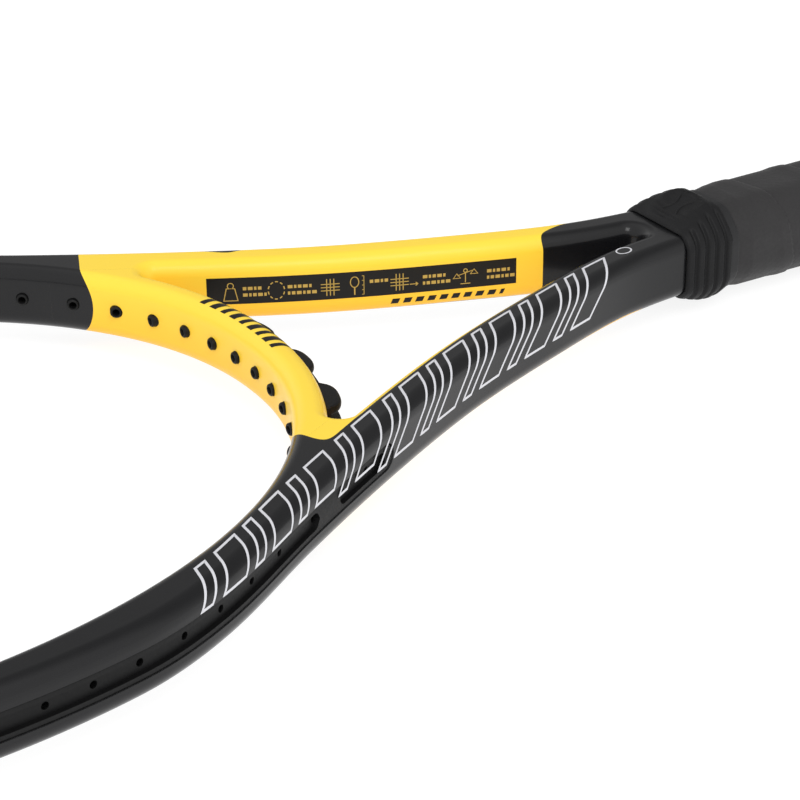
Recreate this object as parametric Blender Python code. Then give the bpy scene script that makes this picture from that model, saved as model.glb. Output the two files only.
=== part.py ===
"""Tennis racket, unstrung, 27 inch (685.8 mm), 645 cm2 head.

Frame: origin at the centre of the butt face, +Y from the butt to the head tip,
+Z normal to the string plane, X across the head. Lengths below are in mm.
"""

import math

import bmesh
import bpy
from mathutils import Matrix, Vector

MM = 0.001

# ---------------------------------------------------------------- head
HOLE_A = 122.8          # half width of the string area
HOLE_B = 165.7          # half length of the string area
HOLE_N = 2.08           # superellipse power of the string area
HOLE_Y = 504.5          # centre of the string area
TUBE_W = 12.8           # width of the hairpin tube in the string plane
TUBE_H = 10.3           # half height of the tube
BRIDGE_W = 9.8          # width of the throat bridge in the string plane
SHOULDER = ((0.0, 5.6), (1.2, 8.6), (4.2, TUBE_H))  # inset, height of the rounded edge
HEAD_STEPS = 28         # stations on half the head
# half width of the frame's outline at these distances from the butt
ARM = ((184.0, 15.9), (213.0, 20.0), (248.0, 31.6), (288.0, 47.6), (328.0, 68.2),
       (368.0, 91.6), (408.0, 117.0), (438.0, 129.0), (488.0, 135.2))
ARM_STEP = 10.0

# ---------------------------------------------------------------- throat
APEX_R = 3.4
FILLET_R = 3.5

# ---------------------------------------------------------------- shaft inside the handle
SHAFT_X = 12.2
SHAFT_Y0 = 3.4
SHAFT_Y1 = 176.0
WALL = 1.6

# ---------------------------------------------------------------- groove and grommets
GROOVE_Z = 4.2
GROOVE_D = 3.0
GROOVE_Y0 = 331.0       # the groove's round end on each arm
MAIN_PITCH = 12.2
MAINS = 8               # on each side of the middle
BRIDGE_MAINS = 4        # on each side of the middle, through the bridge
CROSSES = 17            # holes on each side between the outermost mains
CROSS_Y = (403.5, 605.5)
DRILL_R = 2.55
BARREL_R = 2.2
STRING_R = 1.35
BARREL_OUT = 1.6        # how far a barrel stands out inside the head
GAP = 0.3
BUMPER_Y = 590.0        # the bumper takes over from the side strips here
BUMPER_T = 2.8

# ---------------------------------------------------------------- handle
PALLET = (15.2, 13.7, 7.0)     # half width, half height, corner cut
WRAP = (17.1, 15.5, 8.0)
PALLET_Y1 = 175.6
CAP_PLATE = 3.0
CAP_Y1 = 24.0
DOOR = (9.7, 6.6)
WRAP_Y0 = 4.5
WRAP_Y1 = 171.5
COLLAR_Y = (169.5, 187.5)


# ================================================================ scene and collections
for _old in list(bpy.data.objects):
    bpy.data.objects.remove(_old, do_unlink=True)

RACKET = bpy.data.collections.new("tennis_racket")
CUTTERS = bpy.data.collections.new("cutters")
CUTTERS.hide_render = True
bpy.context.scene.collection.children.link(RACKET)
bpy.context.scene.collection.children.link(CUTTERS)


def material(name, rgb, rough, metal=0.0, coat=0.0):
    m = bpy.data.materials.new(name)
    m.use_nodes = True
    p = m.node_tree.nodes["Principled BSDF"]
    p.inputs["Base Color"].default_value = (*rgb, 1.0)
    p.inputs["Roughness"].default_value = rough
    p.inputs["Metallic"].default_value = metal
    p.inputs["Coat Weight"].default_value = coat
    m.diffuse_color = (*rgb, 1.0)
    return m


# ================================================================ mesh helpers
def mesh_object(name, points, faces, cutter=False, mat=None):
    mesh = bpy.data.meshes.new(name)
    bm = bmesh.new()
    verts = [bm.verts.new(Vector(p) * MM) for p in points]
    for face in faces:
        bm.faces.new([verts[i] for i in face])
    bmesh.ops.recalc_face_normals(bm, faces=bm.faces)
    if bm.calc_volume(signed=True) < 0:
        bmesh.ops.reverse_faces(bm, faces=bm.faces)
    bm.to_mesh(mesh)
    bm.free()
    obj = bpy.data.objects.new(name, mesh)
    if cutter:
        CUTTERS.objects.link(obj)
        obj.hide_render = True
        obj.display_type = "WIRE"
    else:
        RACKET.objects.link(obj)
    if mat:
        mesh.materials.append(mat)
    return obj


def loft(name, rings, ring_closed=True, path_closed=False, **kw):
    """Rings of equal length joined one after the other, with flat caps at the ends of an open path."""
    n = len(rings[0])
    points = [p for ring in rings for p in ring]
    faces = []
    count = len(rings)
    for i in range(count if path_closed else count - 1):
        a, b = i * n, ((i + 1) % count) * n
        for j in range(n if ring_closed else n - 1):
            k = (j + 1) % n
            faces.append((a + j, a + k, b + k, b + j))
    if not path_closed:
        faces.append(tuple(range(n)))
        faces.append(tuple((count - 1) * n + j for j in range(n)))
    return mesh_object(name, points, faces, **kw)


def join(objects):
    """Several separate closed meshes as one cutter or one tool."""
    bm = bmesh.new()
    for o in objects:
        bm.from_mesh(o.data)
    bm.to_mesh(objects[0].data)
    bm.free()
    for o in objects[1:]:
        bpy.data.objects.remove(o, do_unlink=True)
    return objects[0]


def boolean(obj, tool, operation="DIFFERENCE"):
    m = obj.modifiers.new(operation.lower(), "BOOLEAN")
    m.operation = operation
    m.solver = "EXACT"
    m.object = tool
    return m


def prism(name, loops_z, **kw):
    """Closed loops in the string plane, each at its own height."""
    return loft(name, [[(x, y, z) for x, y in loop] for loop, z in loops_z], **kw)


def box(name, lo, hi, **kw):
    x0, y0, z0 = lo
    x1, y1, z1 = hi
    ring = lambda y: [(x0, y, z0), (x1, y, z0), (x1, y, z1), (x0, y, z1)]
    return loft(name, [ring(y0), ring(y1)], **kw)


# ================================================================ plane curves
def oval(t, off=0.0):
    """Point of the string area's edge at parameter t, moved outward by off."""
    c, s = math.cos(t), math.sin(t)
    x = math.copysign(abs(c) ** (2 / HOLE_N), c) * HOLE_A
    y = math.copysign(abs(s) ** (2 / HOLE_N), s) * HOLE_B
    gx = math.copysign(abs(x / HOLE_A) ** (HOLE_N - 1), x) / HOLE_A
    gy = math.copysign(abs(y / HOLE_B) ** (HOLE_N - 1), y) / HOLE_B
    g = math.hypot(gx, gy)
    return x + gx / g * off, y + HOLE_Y + gy / g * off


def inside_oval(x, y):
    return abs(x / HOLE_A) ** HOLE_N + abs((y - HOLE_Y) / HOLE_B) ** HOLE_N < 1.0


def spline(points, y):
    """Cubic through (y, x) pairs, with finite-difference slopes."""
    n = len(points)

    def slope(i):
        a, b = points[max(i - 1, 0)], points[min(i + 1, n - 1)]
        return (b[1] - a[1]) / (b[0] - a[0])

    i = max(0, min(n - 2, sum(1 for p in points if p[0] <= y) - 1))
    (y0, x0), (y1, x1) = points[i], points[i + 1]
    h = y1 - y0
    t = (y - y0) / h
    m0 = slope(i) * h if i else 0.08 * h
    m1 = slope(i + 1) * h if i < n - 2 else 0.025 * h
    return ((2 * t**3 - 3 * t * t + 1) * x0 + (t**3 - 2 * t * t + t) * m0
            + (3 * t * t - 2 * t**3) * x1 + (t**3 - t * t) * m1)


def half_outline(step, head_steps):
    """The frame's outer edge from the neck up the +X side to the tip."""
    pts = []
    y = ARM[0][0]
    count = max(2, round((ARM[-1][0] - y) / step))
    for i in range(count):
        yy = y + (ARM[-1][0] - y) * i / count
        pts.append((spline(ARM, yy), yy))
    t0 = math.asin(((ARM[-1][0] - HOLE_Y) / (HOLE_B + TUBE_W)))
    for i in range(head_steps + 1):
        t = t0 + (math.pi / 2 - t0) * i / head_steps
        x, yy = oval(t, TUBE_W)
        pts.append((max(x, 0.0), yy))
    return pts


def tangents(pts):
    out = []
    for i, p in enumerate(pts):
        a, b = pts[max(i - 1, 0)], pts[min(i + 1, len(pts) - 1)]
        d = math.hypot(b[0] - a[0], b[1] - a[1])
        out.append(((b[0] - a[0]) / d, (b[1] - a[1]) / d))
    out[-1] = (-1.0, 0.0)
    return out


class Path:
    """A run along the frame's outer edge on the +X side: position, inward normal, length."""

    def __init__(self, step, head_steps):
        self.pts = half_outline(step, head_steps)
        tan = tangents(self.pts)
        self.normal = [(-t[1], t[0]) for t in tan]
        self.s = [0.0]
        for a, b in zip(self.pts, self.pts[1:]):
            self.s.append(self.s[-1] + math.hypot(b[0] - a[0], b[1] - a[1]))
        self.length = self.s[-1]

    def at(self, s):
        i = 0
        while i < len(self.s) - 2 and self.s[i + 1] < s:
            i += 1
        f = (s - self.s[i]) / (self.s[i + 1] - self.s[i])
        p, q = self.pts[i], self.pts[i + 1]
        n, m = self.normal[i], self.normal[i + 1]
        nx, ny = n[0] + (m[0] - n[0]) * f, n[1] + (m[1] - n[1]) * f
        d = math.hypot(nx, ny)
        return (p[0] + (q[0] - p[0]) * f, p[1] + (q[1] - p[1]) * f), (nx / d, ny / d)

    def s_of_y(self, y):
        lo, hi = 0.0, self.length
        for _ in range(50):
            mid = (lo + hi) / 2
            if self.at(mid)[0][1] < y:
                lo = mid
            else:
                hi = mid
        return (lo + hi) / 2

    def inner(self, s):
        """Where the normal from the outer edge comes out on the string area's edge."""
        (x, y), (nx, ny) = self.at(s)
        lo, hi = 5.0, 60.0
        for _ in range(50):
            mid = (lo + hi) / 2
            if inside_oval(x + nx * mid, y + ny * mid):
                hi = mid
            else:
                lo = mid
        return (x + nx * lo, y + ny * lo), lo

    def solve(self, lo, hi, test):
        """The s where test(inner point) turns true."""
        for _ in range(40):
            mid = (lo + hi) / 2
            if test(self.inner(mid)[0]):
                hi = mid
            else:
                lo = mid
        return (lo + hi) / 2


def mirror(pts):
    return [(-x, y) for x, y in reversed(pts)]


def offset(loop, d):
    """A closed loop moved to its left by d, with mitred corners."""
    out = []
    n = len(loop)
    for i in range(n):
        p, q, r = loop[i - 1], loop[i], loop[(i + 1) % n]
        a = (q[0] - p[0], q[1] - p[1])
        b = (r[0] - q[0], r[1] - q[1])
        la, lb = math.hypot(*a), math.hypot(*b)
        na, nb = (-a[1] / la, a[0] / la), (-b[1] / lb, b[0] / lb)
        m = (na[0] + nb[0], na[1] + nb[1])
        k = d / max(0.25, (m[0] * na[0] + m[1] * na[1]))
        out.append((q[0] + m[0] * k, q[1] + m[1] * k))
    return out


FINE = Path(3.0, 120)
COARSE = Path(ARM_STEP, HEAD_STEPS)


def outline_loop(y0=SHAFT_Y0):
    """The whole outer edge, anticlockwise, from the butt end round the tip."""
    right = [(SHAFT_X, y0), (SHAFT_X, SHAFT_Y1)] + COARSE.pts[:-1]
    return right + [COARSE.pts[-1]] + mirror(right)


def throat_loop():
    """The opening between the arms and the bridge, anticlockwise from its rounded lower end."""
    # the fillet's centre is the same distance from the arm's inner face and from the bridge
    def centre(s):
        (x, y), (nx, ny) = FINE.at(s)
        return x + nx * (TUBE_W + FILLET_R), y + ny * (TUBE_W + FILLET_R)

    def clear_of_bridge(s):
        cx, cy = centre(s)
        best, best_t = 1e9, 0.0
        for i in range(400):
            t = -math.pi / 2 + 1.3 * i / 399
            ox, oy = oval(t)
            d = math.hypot(ox - cx, oy - cy)
            if d < best:
                best, best_t = d, t
        return best - BRIDGE_W - FILLET_R, best_t, (cx, cy)

    lo, hi = FINE.s_of_y(240.0), FINE.s_of_y(350.0)
    for _ in range(36):
        mid = (lo + hi) / 2
        if clear_of_bridge(mid)[0] > 0:
            lo = mid
        else:
            hi = mid
    s1 = (lo + hi) / 2
    _, t1, (cx, cy) = clear_of_bridge(s1)

    # the lower end: where the opening is just two end radii wide
    lo, hi = 0.0, FINE.s_of_y(230.0)
    for _ in range(40):
        mid = (lo + hi) / 2
        (x, y), (nx, ny) = FINE.at(mid)
        if x + nx * TUBE_W > APEX_R + 0.9:
            hi = mid
        else:
            lo = mid
    s0 = hi
    right = []
    (x, y), (nx, ny) = FINE.at(s0)
    ex, ey = x + nx * TUBE_W, y + ny * TUBE_W
    for i in range(1, 4):
        a = math.pi / 2 * i / 4
        right.append((ex * math.sin(a), ey - APEX_R * math.cos(a)))
    steps = 12
    for i in range(steps + 1):
        (x, y), (nx, ny) = FINE.at(s0 + (s1 - s0) * i / steps)
        right.append((x + nx * TUBE_W, y + ny * TUBE_W))
    a0 = math.atan2(right[-1][1] - cy, right[-1][0] - cx)
    bx, by = oval(t1, BRIDGE_W)
    a1 = math.atan2(by - cy, bx - cx)
    for i in range(1, 6):
        a = a0 + (a1 - a0) * i / 6
        right.append((cx + FILLET_R * math.cos(a), cy + FILLET_R * math.sin(a)))
    for i in range(0, 8):
        t = t1 + (-math.pi / 2 - t1) * i / 8
        right.append(oval(t, BRIDGE_W))
    middle = [oval(-math.pi / 2, BRIDGE_W)]
    fillet_mid = right[3 + steps + 1 + 2]
    return [(0.0, ey - APEX_R)] + right + [(0.0, middle[0][1])] + mirror(right), fillet_mid


def oval_loop():
    n = 64
    return [oval(-math.pi / 2 + 2 * math.pi * i / n) for i in range(n)]


def shouldered(loop, sign, extra=0.0):
    """Rings of a loop whose edge is rounded: sign 1 is a body's own edge, -1 the edge of an opening."""
    rings = [(inset, z) for inset, z in SHOULDER]
    if extra:
        (i0, z0), (i1, z1) = rings[-2:]
        rings[-1] = (i1 + (i1 - i0) * extra, z1 + (z1 - z0) * extra)
    levels = [(i, -z) for i, z in reversed(rings)] + rings
    return [(offset(loop, sign * i) if i else loop, z) for i, z in levels]


# ================================================================ hairpin and bridge
M_FRAME = material("painted_graphite", (0.030, 0.030, 0.034), 0.22, coat=0.6)
M_BRIDGE = material("painted_bridge", (1.0, 0.62, 0.03), 0.25, coat=0.5)
M_GROMMET = material("grommet_nylon", (0.018, 0.018, 0.02), 0.5)
M_PALLET = material("pallet_foam", (0.72, 0.70, 0.64), 0.85)
M_CAP = material("cap_plastic", (0.02, 0.02, 0.022), 0.45)
M_WRAP = material("wrap_polyurethane", (0.035, 0.035, 0.037), 0.8)
M_TAPE = material("tape", (0.02, 0.02, 0.02), 0.6)
M_RUBBER = material("collar_rubber", (0.014, 0.014, 0.015), 0.65)
M_STEEL = material("staple_steel", (0.55, 0.55, 0.56), 0.35, metal=1.0)

throat, corner = throat_loop()


def frame_blank(name, mat):
    body = prism(name, shouldered(outline_loop(), 1), mat=mat)
    boolean(body, CUT_OVAL)
    boolean(body, CUT_THROAT)
    return body


CUT_OVAL = prism("cut_string_area", shouldered(oval_loop(), -1, 0.5), cutter=True)
CUT_THROAT = prism("cut_throat", shouldered(throat, -1, 0.5), cutter=True)

# the bridge meets the tube on a slanted plane through the fillet
JOINT_SLOPE = 0.54


def zone(name, grow):
    def edge(y):
        return corner[0] + (y - corner[1]) * JOINT_SLOPE + grow * math.hypot(1, JOINT_SLOPE)

    low, high = 318.0, 384.0
    loop = [(-edge(low), low), (edge(low), low), (edge(high), high), (-edge(high), high)]
    return prism(name, [(loop, -TUBE_H - 5), (loop, TUBE_H + 5)], cutter=True)


hairpin = frame_blank("frame_hairpin", M_FRAME)
bridge = frame_blank("throat_bridge", M_BRIDGE)
boolean(hairpin, zone("cut_bridge_zone", GAP))
boolean(bridge, zone("keep_bridge_zone", 0.0), "INTERSECT")


# ---------------------------------------------------------------- sections that follow the outer edge
def station(s, side):
    """Position and inward normal on either side; s runs past the tip for the other side."""
    (x, y), (nx, ny) = COARSE.at(min(s, COARSE.length))
    return (side * x, y), (side * nx, ny)


def ring_at(s, side, section):
    (x, y), (nx, ny) = station(s, side)
    return [(x + nx * u, y + ny * u, z) for u, z in section]


def samples(s0, s1, step):
    n = max(2, math.ceil((s1 - s0) / step))
    return [s0 + (s1 - s0) * i / n for i in range(n + 1)]


def rect(u0, u1, hz, cut=0.0):
    if not cut:
        return [(u0, -hz), (u1, -hz), (u1, hz), (u0, hz)]
    return [(u0, -hz + cut), (u0 + cut, -hz), (u1 - cut, -hz), (u1, -hz + cut),
            (u1, hz - cut), (u1 - cut, hz), (u0 + cut, hz), (u0, hz - cut)]


S_GROOVE = COARSE.s_of_y(GROOVE_Y0)
S_BUMPER = COARSE.s_of_y(BUMPER_Y)

# the cavity of the tube, open at the butt, one run from end to end
def cavity_ring(x, y, nx, ny, u0, u1, side=1):
    return [(side * (x + nx * u), y + ny * u, z) for u, z in rect(u0, u1, TUBE_H - WALL, 2.4)]


right_rings = [cavity_ring(SHAFT_X, SHAFT_Y0 - 3, -1, 0, WALL, SHAFT_X - 1.0),
               cavity_ring(SHAFT_X, SHAFT_Y1 - 8, -1, 0, WALL, SHAFT_X - 1.0)]
left_rings = [cavity_ring(SHAFT_X, SHAFT_Y0 - 3, -1, 0, WALL, SHAFT_X - 1.0, -1),
              cavity_ring(SHAFT_X, SHAFT_Y1 - 8, -1, 0, WALL, SHAFT_X - 1.0, -1)]
for s in samples(COARSE.s_of_y(196.0), COARSE.length, 15.0):
    (x, y), (nx, ny) = COARSE.at(s)
    f = min(1.0, max(0.0, (y - 300.0) / 24.0))
    u0 = WALL + f * (GROOVE_D + 1.4 - WALL)
    right_rings.append(cavity_ring(x, y, nx, ny, u0, TUBE_W - 1.5))
    left_rings.append(cavity_ring(x, y, nx, ny, u0, TUBE_W - 1.5, -1))
CUT_CAVITY = loft("cut_cavity", right_rings + left_rings[-2::-1], cutter=True)
boolean(hairpin, CUT_CAVITY)

# the string groove round the outside of the head
groove_rings = []
for k in (1.0, 0.92, 0.71, 0.38):
    s = S_GROOVE + GROOVE_Z * (1 - k)
    groove_rings.append((s, GROOVE_Z * math.sqrt(max(0.02, 1 - k * k))))
half = groove_rings + [(s, GROOVE_Z) for s in samples(S_GROOVE + GROOVE_Z, COARSE.length, 12.5)]
rings = [ring_at(s, 1, rect(-6.0, GROOVE_D, z)) for s, z in half]
rings += [ring_at(s, -1, rect(-6.0, GROOVE_D, z)) for s, z in reversed(half[:-1])]
CUT_GROOVE = loft("cut_groove", rings, cutter=True)
boolean(hairpin, CUT_GROOVE)

# ================================================================ string holes
mains_x = [MAIN_PITCH * (k + 0.5) for k in range(MAINS)]
crosses_y = [CROSS_Y[0] + (CROSS_Y[1] - CROSS_Y[0]) * k / (CROSSES - 1) for k in range(CROSSES)]
S_MID = FINE.s_of_y(HOLE_Y)
hole_s = []
for x in mains_x[BRIDGE_MAINS:]:
    hole_s.append(FINE.solve(FINE.s_of_y(318.0), S_MID, lambda p, x=x: p[0] > x))
for y in crosses_y:
    hole_s.append(FINE.solve(FINE.s_of_y(340.0), FINE.length - 20, lambda p, y=y: p[1] > y))
for x in reversed(mains_x):
    hole_s.append(FINE.solve(S_MID, FINE.length, lambda p, x=x: p[0] < x))


def rod(name, start, end, r, turn=0.0):
    """A six-sided rod along a line in the string plane."""
    (x0, y0), (x1, y1) = start, end
    d = math.hypot(x1 - x0, y1 - y0)
    dx, dy = (x1 - x0) / d, (y1 - y0) / d
    ring = []
    for i in range(6):
        a = math.pi / 3 * i + turn
        ring.append((r * math.cos(a), r * math.sin(a)))
    rings = [[(px - dy * c, py + dx * c, z) for c, z in ring] for px, py in ((x0, y0), (x1, y1))]
    return loft(name, rings, cutter=True)


def along(side, s, u):
    (x, y), (nx, ny) = FINE.at(s)
    return side * (x + nx * u), y + ny * u


def hole_rods(name, holes, r, u0, beyond):
    """Rods through the tube at the given holes, from depth u0 to past the inner face."""
    made = []
    for i, (side, s) in enumerate(holes):
        depth = FINE.inner(s)[1] + beyond
        made.append(rod(f"{name}_{i}", along(side, s, u0), along(side, s, depth), r))
    return join(made)


all_holes = [(side, s) for side in (1, -1) for s in hole_s]
boolean(hairpin, hole_rods("cut_frame_holes", all_holes, DRILL_R, -3.0, 4.0))
# the two holes nearest the bridge come out through its ends
boolean(bridge, hole_rods("cut_bridge_end_holes", [(side, s) for side in (1, -1) for s in hole_s[:2]], DRILL_R, -3.0, 4.0))


# ================================================================ grommet strips
def channel(u_floor, u_back, u_rim, hz, rail):
    """Section of a strip: back at u_back on the groove's floor, rails up to u_rim, string channel down to u_floor."""
    return [(u_back, -hz), (u_back, hz), (u_rim, hz), (u_rim, hz - rail), (u_floor, hz - rail),
            (u_floor, -hz + rail), (u_rim, -hz + rail), (u_rim, -hz)]


def floor_depth(y):
    """The strip's channel is filled flush between its first two slots."""
    return 0.45 if 358.5 < y < 365.5 else 1.6


def side_strip(name, side):
    s0, s1 = S_GROOVE + 1.4, S_BUMPER - 0.8
    marks = samples(s0, s1, 13.0)
    for y in (357.9, 358.9, 365.1, 366.1):
        marks.append(COARSE.s_of_y(y))
    marks += [s0 + 0.9, s0 + 3.0]
    marks = sorted(marks)
    rings = []
    for s in marks:
        y = COARSE.at(s)[0][1]
        hz = GROOVE_Z - GAP
        if s < s0 + 3.0:
            hz = {0: 1.9, 1: 3.1}[0 if s < s0 + 0.5 else 1]
        floor = floor_depth(y) if s > s0 + 2.0 else 0.45
        rings.append(ring_at(s, side, channel(floor, GROOVE_D - GAP, 0.25, hz, 1.2 if s > s0 + 2.0 else 0.8)))
    strip = loft(name, rings, mat=M_GROMMET)
    mine = [(side, s) for s in hole_s if s < FINE.s_of_y(BUMPER_Y) - 3.0]
    boolean(strip, hole_rods(f"{name}_barrels", mine, BARREL_R, 2.3, BARREL_OUT), "UNION")
    boolean(strip, hole_rods(f"{name}_bores", mine, STRING_R, -2.0, 5.0))
    return strip


side_strip("side_grommet_strip_right", 1)
side_strip("side_grommet_strip_left", -1)


def bumper_section(k):
    """Bumper section; k runs from 0 at its ends to 1 over most of its length."""
    out = -(0.9 + (BUMPER_T - 0.9) * k)
    wing = 8.4 + 0.5 * k
    over = GAP + 0.05
    upper = [(GROOVE_D - GAP, GROOVE_Z - GAP), (-over, GROOVE_Z - GAP), (-over, 5.8), (1.05 - over, 8.3),
             (1.05 - over - 0.9, wing), (out * 0.55, 7.4), (out, 5.2), (out, 2.6), (1.5, 2.4)]
    return upper + [(u, -z) for u, z in reversed(upper)]


s_tip = COARSE.length
marks = samples(S_BUMPER + 0.4, s_tip, 12.0)
half = [(s, min(1.0, (s - marks[0]) / 14.0)) for s in marks]
half.insert(1, (marks[0] + 4.0, 0.3))
rings = [ring_at(s, 1, bumper_section(k)) for s, k in half]
rings += [ring_at(s, -1, bumper_section(k)) for s, k in reversed(half[:-1])]
bumper = loft("head_bumper_guard", rings, mat=M_GROMMET)
tip_holes = [(side, s) for side in (1, -1) for s in hole_s if s > FINE.s_of_y(BUMPER_Y) + 3.0]
boolean(bumper, hole_rods("bumper_barrels", tip_holes, BARREL_R, 2.1, BARREL_OUT), "UNION")
boolean(bumper, hole_rods("bumper_bores", tip_holes, STRING_R, -4.0, 5.0))


# ---------------------------------------------------------------- bridge strip
def oval_t(x, off=BRIDGE_W):
    """Parameter where the string area's edge, moved outward by off, is x from the middle."""
    lo, hi = -math.pi / 2, 0.0
    for _ in range(50):
        mid = (lo + hi) / 2
        if oval(mid, off)[0] < x:
            lo = mid
        else:
            hi = mid
    return lo


def hump(x):
    """Height of the strip's rails, raised to a saddle over each pair of string holes."""
    pair = 2 * MAIN_PITCH
    d = abs(((abs(x)) % pair) - MAIN_PITCH)
    rise = min(1.0, max(0.0, (7.0 - d) / 2.0))
    return 1.9 + 4.4 * math.sin(rise * math.pi / 2)


def bridge_ring(x):
    t = oval_t(abs(x))
    side = -1 if x < 0 else 1
    px, py = oval(t, BRIDGE_W)
    qx, qy = oval(t, BRIDGE_W + 1.0)
    dx, dy = side * (qx - px), qy - py
    px *= side
    tall = hump(x)
    sec = [(GAP + 0.1, -4.2), (GAP + 0.1, 4.2), (tall * 0.72, 4.5), (tall, 3.5), (tall, 1.9), (1.5, 1.2),
           (1.5, -1.2), (tall, -1.9), (tall, -3.5), (tall * 0.72, -4.5)]
    return [(px + dx * h, py + dy * h, z) for h, z in sec]


xs = []
reach = MAIN_PITCH * BRIDGE_MAINS
for k in range(BRIDGE_MAINS):
    c = MAIN_PITCH * (2 * k - BRIDGE_MAINS + 1)
    xs += [c - 8.3, c - 7.1, c - 6.4, c - 5.0, c, c + 5.0, c + 6.4, c + 7.1, c + 8.3]
bridge_strip = loft("bridge_grommet_strip", [bridge_ring(x) for x in sorted(xs)], mat=M_GROMMET)


def bridge_rods(name, r, start, end):
    made = []
    for side in (1, -1):
        for k in range(BRIDGE_MAINS):
            x = mains_x[k]
            outer, inner = oval(oval_t(x), BRIDGE_W)[1], oval(oval_t(x, 0.0))[1]
            made.append(rod(f"{name}_{side}_{k}", (side * x, outer - start), (side * x, inner + end), r))
    return join(made)


boolean(bridge, bridge_rods("cut_bridge_holes", DRILL_R, 6.0, 4.0))
boolean(bridge_strip, bridge_rods("bridge_strip_barrels", BARREL_R, 0.9, BARREL_OUT), "UNION")
boolean(bridge_strip, bridge_rods("bridge_strip_bores", STRING_R, 9.0, 5.0))


# ================================================================ handle
def octagon(hx, hz, cut, y):
    return [(hx, y, -hz + cut), (hx, y, hz - cut), (hx - cut, y, hz), (-hx + cut, y, hz),
            (-hx, y, hz - cut), (-hx, y, -hz + cut), (-hx + cut, y, -hz), (hx - cut, y, -hz)]


def grown(base, g, y):
    hx, hz, cut = base
    return octagon(hx + g, hz + g, cut + g * (2 - math.sqrt(2)), y)


def sleeve(name, outer, inner, mat):
    """A tube between two lofts that run along Y; the inner one is longer."""
    body = loft(name, outer, mat=mat)
    boolean(body, loft(f"{name}_bore", inner, cutter=True))
    return body


SHAFT_HOLE = (SHAFT_X + GAP, TUBE_H + GAP, 3.05)


def pallet(name, sign):
    body = loft(name, [grown(PALLET, 0, SHAFT_Y0), grown(PALLET, 0, PALLET_Y1)], mat=M_PALLET)
    boolean(body, loft(f"{name}_bore", [octagon(*SHAFT_HOLE, y) for y in (SHAFT_Y0 - 5, PALLET_Y1 + 5)], cutter=True))
    low, high = (GAP / 2, 30.0) if sign > 0 else (-30.0, -GAP / 2)
    boolean(body, box(f"{name}_half", (-30, -5, low), (30, 200, high), cutter=True), "INTERSECT")
    return body


pallet_front = pallet("pallet_front_half", 1)
pallet_back = pallet("pallet_back_half", -1)

# butt cap: exposed rim, flared seat under the wrap, thin skirt over the pallet
CAP_RIM = (19.6, 18.0, 9.8)
CAP_SEAT = (17.9, 16.3, 9.0)
CAP_SKIRT = (16.7, 15.2, 8.2)
cap_outer = [grown(CAP_RIM, -1.0, 0.0), grown(CAP_RIM, -0.25, 0.5), grown(CAP_RIM, 0, 1.4), grown(CAP_RIM, 0, 3.4), grown(CAP_RIM, -0.4, 4.0),
             grown(CAP_SEAT, 0, 4.1), grown(CAP_SKIRT, 0, 16.0), grown(CAP_SKIRT, 0, CAP_Y1)]
cap = sleeve("butt_cap", cap_outer, [grown(PALLET, GAP, CAP_PLATE), grown(PALLET, GAP, CAP_Y1 + 5)], M_CAP)
boolean(cap, loft("cut_door_opening", [octagon(DOOR[0] + GAP, DOOR[1] + GAP, 2.2, y) for y in (-3.0, CAP_PLATE + 3)], cutter=True))

# trap door that closes the butt cap, with two pairs of legs reaching into the shaft
door = loft("butt_cap_trap_door", [octagon(*DOOR, 2.0, y) for y in (0.0, 2.0)], mat=M_CAP)
legs = []
for sx in (1, -1):
    for sz in (1, -1):
        legs.append(box("door_leg", (sx * 5.6 - 2.0, 1.5, sz * 5.7 - 0.6), (sx * 5.6 + 2.0, 9.5, sz * 5.7 + 0.6), cutter=True))
boolean(door, join(legs), "UNION")
notch = join([box("door_notch", (-2.6, -1.0, sz * 6.9 - 0.9), (2.6, 1.0, sz * 6.9 + 0.9), cutter=True) for sz in (1, -1)])
boolean(door, notch)

# staples that pin the cap's skirt to the pallet, two in each broad face
staple_cuts = []
for sz, face in ((1, "front"), (-1, "back")):
    for sx, hand in ((1, "right"), (-1, "left")):
        cx, y = sx * 3.6, 19.6
        top, leg = CAP_SKIRT[1] - 0.05, 11.9
        z_lo, z_hi = sorted((sz * (top - 0.55), sz * top))
        crown = box(f"butt_cap_staple_{face}_{hand}", (cx - 2.5, y - 0.35, z_lo), (cx + 2.5, y + 0.35, z_hi), mat=M_STEEL)
        prongs, holes = [], []
        for px in (cx - 2.2, cx + 2.2):
            a, b = sorted((sz * (top - 0.3), sz * leg))
            prongs.append(box("prong", (px - 0.3, y - 0.3, a), (px + 0.3, y + 0.3, b), cutter=True))
            a, b = sorted((sz * (top + 0.6), sz * (leg - 0.4)))
            holes.append(box("prong_hole", (px - 0.6, y - 0.6, a), (px + 0.6, y + 0.6, b), cutter=True))
        boolean(crown, join(prongs), "UNION")
        a, b = sorted((sz * (top + 0.6), sz * (top - 0.85)))
        holes.append(box("crown_recess", (cx - 2.85, y - 0.72, a), (cx + 2.85, y + 0.72, b), cutter=True))
        staple_cuts.append((sz, holes))
for sz, holes in staple_cuts:
    for hole in holes:
        boolean(cap, hole)
        if hole.name.startswith("prong_hole"):
            boolean(pallet_front if sz > 0 else pallet_back, hole)

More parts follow.
